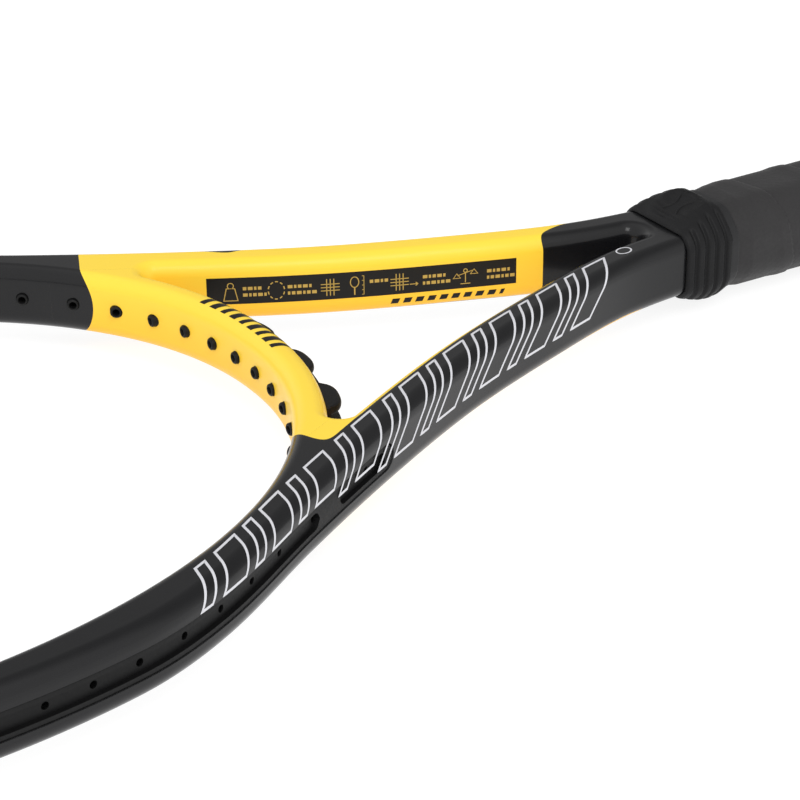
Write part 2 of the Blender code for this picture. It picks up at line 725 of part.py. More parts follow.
# wrap: one long sleeve over the cap's seat and the pallet
wrap_outer = [grown(WRAP, 2.35, WRAP_Y0), grown(WRAP, 2.2, 8.0), grown(WRAP, 1.7, 16.0), grown(WRAP, 1.55, 24.0),
              grown(WRAP, 0.25, 36.0), grown(WRAP, 0, 46.0), grown(WRAP, 0, 160.5), grown(WRAP, -0.75, 165.5), grown(WRAP, -0.75, WRAP_Y1)]
wrap_inner = [grown(CAP_SEAT, GAP + 0.05, 0.0), grown(CAP_SEAT, GAP + 0.05, 4.1), grown(CAP_SKIRT, GAP + 0.05, 16.0), grown(CAP_SKIRT, GAP + 0.05, CAP_Y1 + 0.4),
              grown(PALLET, GAP - 0.15, CAP_Y1 + 2.4), grown(PALLET, GAP - 0.15, WRAP_Y1 + 5)]
wrap = sleeve("grip_wrap", wrap_outer, wrap_inner, M_WRAP)

tape = sleeve("grip_finishing_tape", [grown(WRAP, -0.3, 166.1), grown(WRAP, -0.3, 171.1)],
              [grown(WRAP, -0.6, 162.0), grown(WRAP, -0.6, 175.0)], M_TAPE)

# collar: ribbed rubber sleeve that tapers from the wrap's end down to the neck of the frame
COLLAR = ((169.5, 17.8, 16.2, 8.0), (173.0, 18.1, 16.5, 7.8), (176.0, 18.1, 15.9, 6.8), (178.7, 18.0, 14.9, 5.6),
          (183.0, 17.9, 13.1, 4.3), (187.5, 17.5, 11.5, 3.9))
NECK = (16.5, TUBE_H + 0.5, 3.2)
BADGE_Y = 178.7


def crest(y, g=0.0):
    """The collar's outside at y, before its ribs."""
    for (y0, *a), (y1, *b) in zip(COLLAR, COLLAR[1:]):
        if y <= y1:
            break
    f = min(1.0, max(0.0, (y - y0) / (y1 - y0)))
    return grown(tuple(p + (q - p) * f for p, q in zip(a, b)), g, y)


RIB_PITCH = 3.87
collar_outer = [crest(COLLAR_Y[0], -0.25), crest(COLLAR_Y[0] + 0.5)]
for i in range(4):
    y = 172.4 + RIB_PITCH * i
    collar_outer += [crest(y - 0.8), crest(y, -0.7), crest(y + 0.8)]
collar_outer += [crest(COLLAR_Y[1] - 0.7), crest(COLLAR_Y[1], -0.3)]
collar_inner = [grown(WRAP, -0.1, COLLAR_Y[0] - 5), grown(WRAP, -0.1, 171.8), grown(PALLET, GAP, 172.4), grown(PALLET, GAP, PALLET_Y1 + 0.3),
                octagon(*NECK, PALLET_Y1 + 1.7), octagon(*NECK, COLLAR_Y[1] + 5)]
collar = sleeve("grip_collar", collar_outer, collar_inner, M_RUBBER)


def crest_top(y):
    return crest(y)[2][2]


def on_slope(rx, ry, h, power, count=16):
    """A rounded ring lying on the collar's sloping top, h above it."""
    ring = []
    for i in range(count):
        a = 2 * math.pi * i / count
        c, s = math.cos(a), math.sin(a)
        y = BADGE_Y + ry * math.copysign(abs(s) ** power, s)
        ring.append((rx * math.copysign(abs(c) ** power, c), y, crest_top(y) + h))
    return ring


pad = [on_slope(9.0, 7.9, -0.5, 0.7), on_slope(9.0, 7.9, 0.2, 0.7), on_slope(8.5, 7.4, 0.6, 0.7)]
boolean(collar, loft("collar_pad", pad, cutter=True), "UNION")
boolean(collar, loft("collar_badge_recess", [on_slope(6.9, 6.9, 0.25, 1.0), on_slope(6.9, 6.9, 3.0, 1.0)], cutter=True))
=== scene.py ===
import math

import bmesh
import bpy
import numpy as np
from mathutils import Matrix, Vector
from mathutils.kdtree import KDTree


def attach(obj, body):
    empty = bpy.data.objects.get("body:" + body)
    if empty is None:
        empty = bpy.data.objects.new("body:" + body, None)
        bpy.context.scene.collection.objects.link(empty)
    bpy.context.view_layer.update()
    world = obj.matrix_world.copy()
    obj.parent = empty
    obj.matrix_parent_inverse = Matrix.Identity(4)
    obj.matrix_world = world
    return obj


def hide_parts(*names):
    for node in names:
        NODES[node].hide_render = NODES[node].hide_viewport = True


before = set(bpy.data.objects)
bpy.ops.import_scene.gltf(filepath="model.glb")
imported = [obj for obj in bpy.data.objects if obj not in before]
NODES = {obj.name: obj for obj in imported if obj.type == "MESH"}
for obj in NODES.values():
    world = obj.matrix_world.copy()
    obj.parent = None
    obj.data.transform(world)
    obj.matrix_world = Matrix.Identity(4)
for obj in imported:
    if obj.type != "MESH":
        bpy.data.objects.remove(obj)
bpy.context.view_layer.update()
MM = 0.001

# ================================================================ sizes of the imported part, in mm
HOLE_A, HOLE_B, HOLE_N, HOLE_Y = 122.8, 165.7, 2.08, 504.5
TUBE_W, TUBE_H, BRIDGE_W = 12.8, 10.3, 9.8
WALL_Z, ROUND_IN = 5.4, 4.4          # half height of the straight wall, depth of the rounded shoulder
ARM = ((184.0, 15.9), (213.0, 20.0), (248.0, 31.6), (288.0, 47.6), (328.0, 68.2),
       (368.0, 91.6), (408.0, 117.0), (438.0, 129.0), (488.0, 135.2))
APEX_R, FILLET_R = 3.4, 3.5
SHAFT_X, SHAFT_Y0, SHAFT_Y1 = 12.2, 3.4, 176.0
GROOVE_Z, GROOVE_D, GROOVE_Y0 = 4.2, 3.0, 331.0
MAIN_PITCH, MAINS, BRIDGE_MAINS = 12.2, 8, 4
CROSSES, CROSS_Y = 17, (403.5, 605.5)
DRILL_R, BARREL_R, BORE_R, BARREL_OUT = 2.05, 1.9, 1.1, 1.15
GAP, BUMPER_Y, BUMPER_T = 0.3, 590.0, 2.8
PALLET, WRAP = (15.2, 13.7, 7.0), (17.1, 15.5, 8.0)
CAP_SEAT, CAP_SKIRT = (17.9, 16.3, 9.0), (16.7, 15.2, 8.2)
NECK = (16.5, TUBE_H + 0.5, 3.2)
COLLAR = ((169.5, 17.8, 16.2, 8.0), (173.0, 18.1, 16.5, 7.8), (176.0, 18.1, 15.9, 6.8), (178.7, 18.0, 14.9, 5.6),
          (183.0, 17.9, 13.1, 4.3), (187.5, 17.5, 11.5, 3.9))
BADGE_Y, RIB_Y0, RIB_PITCH = 178.7, 172.4, 3.87
JOINT_SLOPE = 0.54


# ================================================================ node graphs
class Graph:
    """A material's node tree with short calls for the maths."""

    def __init__(self, name):
        self.mat = bpy.data.materials.new(name)
        self.mat.use_nodes = True
        self.tree = self.mat.node_tree
        self.bsdf = self.tree.nodes["Principled BSDF"]
        self.coord = self.node("ShaderNodeTexCoord").outputs["Object"]

    def node(self, kind, **props):
        n = self.tree.nodes.new(kind)
        for k, v in props.items():
            setattr(n, k, v)
        return n

    def put(self, socket, value):
        if isinstance(value, bpy.types.NodeSocket):
            self.tree.links.new(value, socket)
        elif isinstance(value, (tuple, list)) and len(value) == 3 and socket.type == "RGBA":
            socket.default_value = (*value, 1.0)
        else:
            socket.default_value = value

    def m(self, op, *args):
        n = self.node("ShaderNodeMath", operation=op)
        for i, a in enumerate(args):
            self.put(n.inputs[i], a)
        return n.outputs[0]

    def poly(self, x, coefficients):
        """Horner's rule; the highest power first."""
        out = coefficients[0]
        for c in coefficients[1:]:
            out = self.m("MULTIPLY_ADD", x, out, float(c)) if isinstance(out, bpy.types.NodeSocket) else self.m("MULTIPLY_ADD", x, float(out), float(c))
        return out

    def xyz(self):
        n = self.node("ShaderNodeSeparateXYZ")
        scaled = self.node("ShaderNodeVectorMath", operation="SCALE")
        self.put(scaled.inputs[0], self.coord)
        scaled.inputs["Scale"].default_value = 1000.0
        self.put(n.inputs[0], scaled.outputs[0])
        return n.outputs[0], n.outputs[1], n.outputs[2]

    def noise(self, scale, detail=2.0, rough=0.5, vector=None, distort=0.0):
        n = self.node("ShaderNodeTexNoise")
        self.put(n.inputs["Vector"], vector if vector is not None else self.coord)
        n.inputs["Scale"].default_value = scale
        n.inputs["Detail"].default_value = detail
        n.inputs["Roughness"].default_value = rough
        n.inputs["Distortion"].default_value = distort
        return n.outputs["Fac"]

    def voronoi(self, scale, feature="F1", rand=1.0, vector=None):
        n = self.node("ShaderNodeTexVoronoi", feature=feature)
        self.put(n.inputs["Vector"], vector if vector is not None else self.coord)
        n.inputs["Scale"].default_value = scale
        n.inputs["Randomness"].default_value = rand
        return n.outputs["Distance"]

    def stretch(self, scale):
        n = self.node("ShaderNodeMapping")
        self.put(n.inputs["Vector"], self.coord)
        n.inputs["Scale"].default_value = scale
        return n.outputs[0]

    def ramp(self, value, a, b, lo=0.0, hi=1.0):
        n = self.node("ShaderNodeMapRange")
        for i, v in enumerate((value, a, b, lo, hi)):
            self.put(n.inputs[i], v)
        return n.outputs[0]

    def mix(self, fac, a, b):
        n = self.node("ShaderNodeMix", data_type="RGBA")
        self.put(n.inputs[0], fac)
        self.put(n.inputs[6], a)
        self.put(n.inputs[7], b)
        return n.outputs[2]

    def bump(self, height, distance, strength=1.0, normal=None):
        n = self.node("ShaderNodeBump")
        n.inputs["Strength"].default_value = strength
        n.inputs["Distance"].default_value = distance
        self.put(n.inputs["Height"], height)
        if normal is not None:
            self.put(n.inputs["Normal"], normal)
        return n.outputs[0]

    def set(self, **values):
        for k, v in values.items():
            self.put(self.bsdf.inputs[k.replace("_", " ")], v)
        return self.mat


# Yellow lacquer: the top colour, and a deeper orange that is painted shade for the underside
YELLOW_TOP = (0.97, 0.70, 0.06)
YELLOW_SHADED_UNDERSIDE = (0.95, 0.40, 0.004)
CHARCOAL = (0.0065, 0.0065, 0.0072)


# ================================================================ plane curves
def oval(t, off=0.0):
    c, s = math.cos(t), math.sin(t)
    x = math.copysign(abs(c) ** (2 / HOLE_N), c) * HOLE_A
    y = math.copysign(abs(s) ** (2 / HOLE_N), s) * HOLE_B
    gx = math.copysign(abs(x / HOLE_A) ** (HOLE_N - 1), x) / HOLE_A
    gy = math.copysign(abs(y / HOLE_B) ** (HOLE_N - 1), y) / HOLE_B
    g = math.hypot(gx, gy)
    return x + gx / g * off, y + HOLE_Y + gy / g * off


def inside_oval(x, y):
    return abs(x / HOLE_A) ** HOLE_N + abs((y - HOLE_Y) / HOLE_B) ** HOLE_N < 1.0


def spline(points, y):
    n = len(points)

    def slope(i):
        a, b = points[max(i - 1, 0)], points[min(i + 1, n - 1)]
        return (b[1] - a[1]) / (b[0] - a[0])

    i = max(0, min(n - 2, sum(1 for p in points if p[0] <= y) - 1))
    (y0, x0), (y1, x1) = points[i], points[i + 1]
    h = y1 - y0
    t = (y - y0) / h
    m0 = slope(i) * h if i else 0.08 * h
    m1 = slope(i + 1) * h if i < n - 2 else 0.025 * h
    return ((2 * t**3 - 3 * t * t + 1) * x0 + (t**3 - 2 * t * t + t) * m0
            + (3 * t * t - 2 * t**3) * x1 + (t**3 - t * t) * m1)


def half_outline(step, head_steps):
    pts = []
    y = ARM[0][0]
    count = max(2, round((ARM[-1][0] - y) / step))
    for i in range(count):
        yy = y + (ARM[-1][0] - y) * i / count
        pts.append((spline(ARM, yy), yy))
    t0 = math.asin((ARM[-1][0] - HOLE_Y) / (HOLE_B + TUBE_W))
    for i in range(head_steps + 1):
        t = t0 + (math.pi / 2 - t0) * i / head_steps
        x, yy = oval(t, TUBE_W)
        pts.append((max(x, 0.0), yy))
    return pts


class Edge:
    """The frame's outer edge on the +X side, from the neck to the tip; s is the distance along it."""

    def __init__(self, step=3.0, head_steps=120):
        p = np.array(half_outline(step, head_steps))
        self.p = p
        d = np.gradient(p, axis=0)
        d[1:-1] = p[2:] - p[:-2]
        d[0], d[-1] = p[1] - p[0], (-1.0, 0.0)
        d /= np.linalg.norm(d, axis=1)[:, None]
        self.n = np.stack([-d[:, 1], d[:, 0]], 1)
        self.s = np.r_[0, np.cumsum(np.linalg.norm(np.diff(p, axis=0), axis=1))]
        self.length = self.s[-1]

    def at(self, s):
        """Points and inward normals; s past the tip comes down the other side."""
        s = np.atleast_1d(np.asarray(s, float))
        far = s > self.length
        q = np.where(far, 2 * self.length - s, s)
        x, y = (np.interp(q, self.s, self.p[:, k]) for k in (0, 1))
        nx, ny = (np.interp(q, self.s, self.n[:, k]) for k in (0, 1))
        l = np.hypot(nx, ny)
        sign = np.where(far, -1.0, 1.0)
        return np.stack([x * sign, y], 1), np.stack([nx * sign / l, ny / l], 1)

    def s_of_y(self, y):
        top = self.p[:, 1].argmax() + 1
        return float(np.interp(y, self.p[:top, 1], self.s[:top]))

    def inner(self, s):
        (x, y), (nx, ny) = (v[0] for v in self.at(s))
        lo, hi = 5.0, 60.0
        for _ in range(40):
            mid = (lo + hi) / 2
            if inside_oval(x + nx * mid, y + ny * mid):
                hi = mid
            else:
                lo = mid
        return (x + nx * lo, y + ny * lo), lo

    def solve(self, lo, hi, test):
        for _ in range(26):
            mid = (lo + hi) / 2
            if test(self.inner(mid)[0]):
                hi = mid
            else:
                lo = mid
        return (lo + hi) / 2


EDGE = Edge()


def outline_loop():
    right = [(SHAFT_X, SHAFT_Y0), (SHAFT_X, 60.0), (SHAFT_X, 120.0), (SHAFT_X, SHAFT_Y1)] + [tuple(p) for p in EDGE.p[:-1]]
    return np.array(right + [tuple(EDGE.p[-1])] + [(-x, y) for x, y in reversed(right)])


def oval_loop(n=260, off=0.0):
    return np.array([oval(-math.pi / 2 + 2 * math.pi * i / n, off) for i in range(n)])


def throat_loop():
    def point(s, u):
        p, n = EDGE.at(s)
        return p[0] + n[0] * u

    def clear_of_bridge(s):
        cx, cy = point(s, TUBE_W + FILLET_R)
        ts = np.linspace(-math.pi / 2, -math.pi / 2 + 1.3, 300)
        d = [math.hypot(*(np.array(oval(t)) - (cx, cy))) for t in ts]
        i = int(np.argmin(d))
        return d[i] - BRIDGE_W - FILLET_R, ts[i], (cx, cy)

    lo, hi = EDGE.s_of_y(240.0), EDGE.s_of_y(350.0)
    for _ in range(24):
        mid = (lo + hi) / 2
        if clear_of_bridge(mid)[0] > 0:
            lo = mid
        else:
            hi = mid
    s1 = (lo + hi) / 2
    _, t1, (cx, cy) = clear_of_bridge(s1)
    lo, hi = 0.0, EDGE.s_of_y(230.0)
    for _ in range(30):
        mid = (lo + hi) / 2
        if point(mid, TUBE_W)[0] > APEX_R + 0.9:
            hi = mid
        else:
            lo = mid
    s0 = hi
    right = []
    ex, ey = point(s0, TUBE_W)
    for i in range(1, 8):
        a = math.pi / 2 * i / 8
        right.append((ex * math.sin(a), ey - APEX_R * math.cos(a)))
    for s in np.linspace(s0, s1, 52):
        right.append(tuple(point(s, TUBE_W)))
    a0 = math.atan2(right[-1][1] - cy, right[-1][0] - cx)
    bx, by = oval(t1, BRIDGE_W)
    a1 = math.atan2(by - cy, bx - cx)
    for i in range(1, 14):
        a = a0 + (a1 - a0) * i / 14
        right.append((cx + FILLET_R * math.cos(a), cy + FILLET_R * math.sin(a)))
    corner = right[-7]
    for i in range(30):
        t = t1 + (-math.pi / 2 - t1) * i / 30
        right.append(oval(t, BRIDGE_W))
    mid = oval(-math.pi / 2, BRIDGE_W)
    return np.array([(0.0, ey - APEX_R)] + right + [(0.0, mid[1])] + [(-x, y) for x, y in reversed(right)]), corner


def offset(loop, d):
    """A closed loop moved to its left by d."""
    loop = np.asarray(loop, float)
    a = loop - np.roll(loop, 1, 0)
    b = np.roll(loop, -1, 0) - loop
    na = np.stack([-a[:, 1], a[:, 0]], 1) / np.linalg.norm(a, axis=1)[:, None]
    nb = np.stack([-b[:, 1], b[:, 0]], 1) / np.linalg.norm(b, axis=1)[:, None]
    m = na + nb
    k = d / np.maximum(0.25, (m * na).sum(1))
    return loop + m * k[:, None]


# ================================================================ mesh helpers
def new_object(name, mesh):
    obj = bpy.data.objects.new(name, mesh)
    bpy.context.scene.collection.objects.link(obj)
    return obj


def build(name, points, faces, mats=(), smooth=True, close=True):
    """A mesh from points in mm, outward normals when it is closed."""
    bm = bmesh.new()
    vs = [bm.verts.new((p[0] * MM, p[1] * MM, p[2] * MM)) for p in points]
    for f in faces:
        bm.faces.new([vs[i] for i in f])
    if close:
        bmesh.ops.recalc_face_normals(bm, faces=bm.faces)
    mesh = bpy.data.meshes.new(name)
    bm.to_mesh(mesh)
    bm.free()
    for mat in mats:
        mesh.materials.append(mat)
    if smooth:
        mesh.polygons.foreach_set("use_smooth", [True] * len(mesh.polygons))
    return new_object(name, mesh)


def loft(name, rings, path_closed=False, caps=True, **kw):
    n = len(rings[0])
    count = len(rings)
    points = [p for ring in rings for p in ring]
    faces = []
    for i in range(count if path_closed else count - 1):
        a, b = i * n, ((i + 1) % count) * n
        for j in range(n):
            k = (j + 1) % n
            faces.append((a + j, a + k, b + k, b + j))
    if not path_closed and caps:
        faces.append(tuple(range(n)))
        faces.append(tuple((count - 1) * n + j for j in range(n)))
    return build(name, points, faces, **kw)


def merge(objects, name=None):
    bm = bmesh.new()
    for o in objects:
        bm.from_mesh(o.data)
    bm.to_mesh(objects[0].data)
    bm.free()
    for o in objects[1:]:
        bpy.data.objects.remove(o, do_unlink=True)
    if name:
        objects[0].name = name
    return objects[0]


def cut(obj, tool, operation="DIFFERENCE", keep=False):
    """An exact Boolean, applied; the tool's faces carry material 1."""
    tool.data.materials.clear()
    for mat in obj.data.materials:
        tool.data.materials.append(mat)
    if len(obj.data.materials) > 1:
        tool.data.polygons.foreach_set("material_index", [1] * len(tool.data.polygons))
    mod = obj.modifiers.new("cut", "BOOLEAN")
    mod.operation, mod.solver, mod.object = operation, "EXACT", tool
    mod.material_mode = "INDEX"
    graph = bpy.context.evaluated_depsgraph_get()
    mesh = bpy.data.meshes.new_from_object(obj.evaluated_get(graph))
    obj.modifiers.clear()
    old, obj.data = obj.data, mesh
    mesh.name = obj.name
    bpy.data.meshes.remove(old)
    if not keep:
        bpy.data.objects.remove(tool, do_unlink=True)
    return obj


def by_angle(obj, degrees=35.0):
    """Smooth shading with sharp edges where faces meet at more than this angle."""
    bm = bmesh.new()
    bm.from_mesh(obj.data)
    limit = math.radians(degrees)
    for e in bm.edges:
        e.smooth = not (len(e.link_faces) == 2 and e.calc_face_angle(0.0) > limit)
    for f in bm.faces:
        f.smooth = True
    bm.to_mesh(obj.data)
    bm.free()
    return obj


def finish_piece(obj, slot, *replaced, body="racket"):
    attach(obj, body)
    if replaced:
        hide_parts(*replaced)
    return obj


# ================================================================ painted frame skin
OUTER = outline_loop()
OVAL = oval_loop()
THROAT, CORNER = throat_loop()


def shoulder_levels(n=8):
    top = [(ROUND_IN * (1 - math.cos(a)), WALL_Z + (TUBE_H - WALL_Z) * math.sin(a)) for a in np.linspace(0, math.pi / 2, n + 1)]
    return [(i, -z) for i, z in reversed(top)] + top


def frame_solid(name, mats):
    bm = bmesh.new()
    for loop, sign in ((OUTER, 1), (OVAL, -1), (THROAT, -1)):
        rings = []
        for inset, z in shoulder_levels():
            pts = offset(loop, sign * inset) if inset else loop
            rings.append([bm.verts.new((x * MM, y * MM, z * MM)) for x, y in pts])
        for a, b in zip(rings, rings[1:]):
            n = len(a)
            for j in range(n):
                k = (j + 1) % n
                bm.faces.new((a[j], a[k], b[k], b[j]))
    for level in (-TUBE_H, TUBE_H):
        edges = [e for e in bm.edges if len(e.link_faces) == 1 and abs(e.verts[0].co.z - level * MM) < 1e-7 and abs(e.verts[1].co.z - level * MM) < 1e-7]
        bmesh.ops.triangle_fill(bm, use_beauty=True, edges=edges, normal=(0, 0, 1 if level > 0 else -1))
    bmesh.ops.recalc_face_normals(bm, faces=bm.faces)
    if bm.calc_volume(signed=True) < 0:
        bmesh.ops.reverse_faces(bm, faces=bm.faces)
    mesh = bpy.data.meshes.new(name)
    bm.to_mesh(mesh)
    bm.free()
    for mat in mats:
        mesh.materials.append(mat)
    return new_object(name, mesh)


def along_edge(s, side, u, z):
    """Points at depth u from the outer edge."""
    p, n = EDGE.at(s)
    q = p + n * np.reshape(u, (-1, 1))
    return np.stack([side * q[:, 0], q[:, 1], np.broadcast_to(z, len(q))], 1)


def ring_at(s, side, section):
    section = np.asarray(section, float)
    return along_edge(np.full(len(section), s), side, section[:, 0], section[:, 1])


def samples(a, b, step):
    n = max(2, math.ceil((b - a) / step))
    return [a + (b - a) * i / n for i in range(n + 1)]


S_GROOVE = EDGE.s_of_y(GROOVE_Y0)
S_BUMPER = EDGE.s_of_y(BUMPER_Y)
S_MID = EDGE.s_of_y(HOLE_Y)

mains_x = [MAIN_PITCH * (k + 0.5) for k in range(MAINS)]
hole_s = [EDGE.solve(EDGE.s_of_y(318.0), S_MID, lambda p, x=x: p[0] > x) for x in mains_x[BRIDGE_MAINS:]]
for k in range(CROSSES):
    yk = CROSS_Y[0] + (CROSS_Y[1] - CROSS_Y[0]) * k / (CROSSES - 1)
    hole_s.append(EDGE.solve(EDGE.s_of_y(340.0), EDGE.length - 20, lambda p: p[1] > yk))
hole_s += [EDGE.solve(S_MID, EDGE.length, lambda p, x=x: p[0] < x) for x in reversed(mains_x)]
hole_depth = {s: EDGE.inner(s)[1] for s in hole_s}


def lathe_profile(start, direction, profile, n=20):
    """Rings of (distance along, radius) round a line in the string plane."""
    d = np.array([direction[0], direction[1], 0.0])
    d /= np.linalg.norm(d)
    e, f = np.array([-d[1], d[0], 0.0]), np.array([0.0, 0.0, 1.0])
    a = np.arange(n) * 2 * math.pi / n
    rings = []
    for t, r in profile:
        rings.append(np.array(start) + d * t + r * (np.cos(a)[:, None] * e + np.sin(a)[:, None] * f))
    return rings


def rod(start, end, r, n=20):
    d = np.subtract(end, start)
    rings = lathe_profile((*start, 0.0), d, [(0.0, r), (float(np.hypot(*d)), r)], n)
    return loft("rod", rings, smooth=False)


def spot(side, s, u):
    return tuple(along_edge([s], side, [u], 0.0)[0][:2])


def hole_rods(holes, r, u0, beyond):
    return merge([rod(spot(side, s, u0), spot(side, s, hole_depth[s] + beyond), r) for side, s in holes])


def bridge_line(x):
    """Ends of the bridge's string hole at this distance from the middle: throat side, head side."""
    def y_at(off):
        lo, hi = -math.pi / 2, 0.0
        for _ in range(40):
            mid = (lo + hi) / 2
            if oval(mid, off)[0] < abs(x):
                lo = mid
            else:
                hi = mid
        return oval(lo, off)[1]
    return y_at(BRIDGE_W), y_at(0.0)


bridge_x = [side * x for side in (1, -1) for x in mains_x[:BRIDGE_MAINS]]
bridge_ends = {x: bridge_line(x) for x in bridge_x}


def groove_stations(s0, s1, half_z, step, round_start=True, round_end=False):
    """(s, half height) along a slot, with round ends."""
    out = []
    ks = [1.0, 0.966, 0.866, 0.707, 0.5, 0.259]
    if round_start:
        out += [(s0 + half_z * (1 - k), half_z * math.sqrt(max(0.004, 1 - k * k))) for k in ks]
    body0 = s0 + half_z if round_start else s0
    body1 = s1 - half_z if round_end else s1
    out += [(s, half_z) for s in samples(body0, body1, step)]
    if round_end:
        out += [(s1 - half_z * (1 - k), half_z * math.sqrt(max(0.004, 1 - k * k))) for k in reversed(ks)]
    return out


def slot_cutter(side, stations, u0, u1):
    rings = [ring_at(s, side, [(u0, -z), (u1, -z), (u1, z), (u0, z)]) for s, z in stations]
    return loft("slot", rings, smooth=False)


def zone(grow):
    def edge(y):
        return CORNER[0] + (y - CORNER[1]) * JOINT_SLOPE + grow * math.hypot(1, JOINT_SLOPE)

    low, high = 318.0, 384.0
    loop = [(-edge(low), low), (edge(low), low), (edge(high), high), (-edge(high), high)]
    return loft("zone", [[(x, y, z) for x, y in loop] for z in (-20.0, 20.0)], smooth=False)


def edge_samples(loops, step=0.4):
    """Points and outward normals along the edges of the material."""
    pts, nrm = [], []
    for loop, sign in loops:
        nxt, prv = np.roll(loop, -1, 0), np.roll(loop, 1, 0)
        t = nxt - prv
        n = np.stack([t[:, 1], -t[:, 0]], 1) / np.linalg.norm(t, axis=1)[:, None] * sign
        for i in range(len(loop)):
            a, b = loop[i], nxt[i]
            m = n[(i + 1) % len(loop)]
            k = max(1, math.ceil(np.hypot(*(b - a)) / step))
            f = (np.arange(k) / k)[:, None]
            pts.append(a + (b - a) * f)
            nrm.append(n[i] + (m - n[i]) * f)
    pts, nrm = np.concatenate(pts), np.concatenate(nrm)
    return pts, nrm / np.linalg.norm(nrm, axis=1)[:, None]


class Skin:
    """The rounded tube's own normal at any point of its surface."""

    def __init__(self):
        self.sets = []
        for loops in ([(OUTER, 1)], [(OVAL, -1), (THROAT, -1)]):
            pts, nrm = edge_samples(loops)
            tree = KDTree(len(pts))
            for i, p in enumerate(pts):
                tree.insert((p[0], p[1], 0.0), i)
            tree.balance()
            self.sets.append((tree, pts, nrm))

    def normal(self, x, y, z):
        best = None
        for tree, pts, nrm in self.sets:
            _, i, _ = tree.find((x, y, 0.0))
            n = nrm[i]
            depth = -((x - pts[i][0]) * n[0] + (y - pts[i][1]) * n[1])
            if best is None or depth < best[0]:
                best = (depth, n)
        depth, n = best
        sign = 1.0 if z > 0 else -1.0
        if depth >= ROUND_IN + 0.05:
            return (0.0, 0.0, sign)
        c = 1 - min(max(depth, 0.0), ROUND_IN) / ROUND_IN
        if abs(z) <= WALL_Z + 1e-3 or c >= 1:
            return (n[0], n[1], 0.0)
        s = math.sqrt(max(0.0, 1 - c * c))
        a, b = c / ROUND_IN, s / (TUBE_H - WALL_Z)
        l = math.hypot(a, b)
        return (n[0] * a / l, n[1] * a / l, sign * b / l)


SKIN = Skin()


def paint_normals(obj):
    mesh = obj.data
    mesh.polygons.foreach_set("use_smooth", [True] * len(mesh.polygons))
    cache = {}
    normals = []
    for poly in mesh.polygons:
        for v in poly.vertices:
            if poly.material_index:
                normals.append(tuple(poly.normal))
                continue
            if v not in cache:
                co = mesh.vertices[v].co
                cache[v] = SKIN.normal(co.x / MM, co.y / MM, co.z / MM)
            n = cache[v]
            if n[0] * poly.normal[0] + n[1] * poly.normal[1] + n[2] * poly.normal[2] < 0.7:
                n = tuple(poly.normal)
            normals.append(n)
    mesh.normals_split_custom_set(normals)


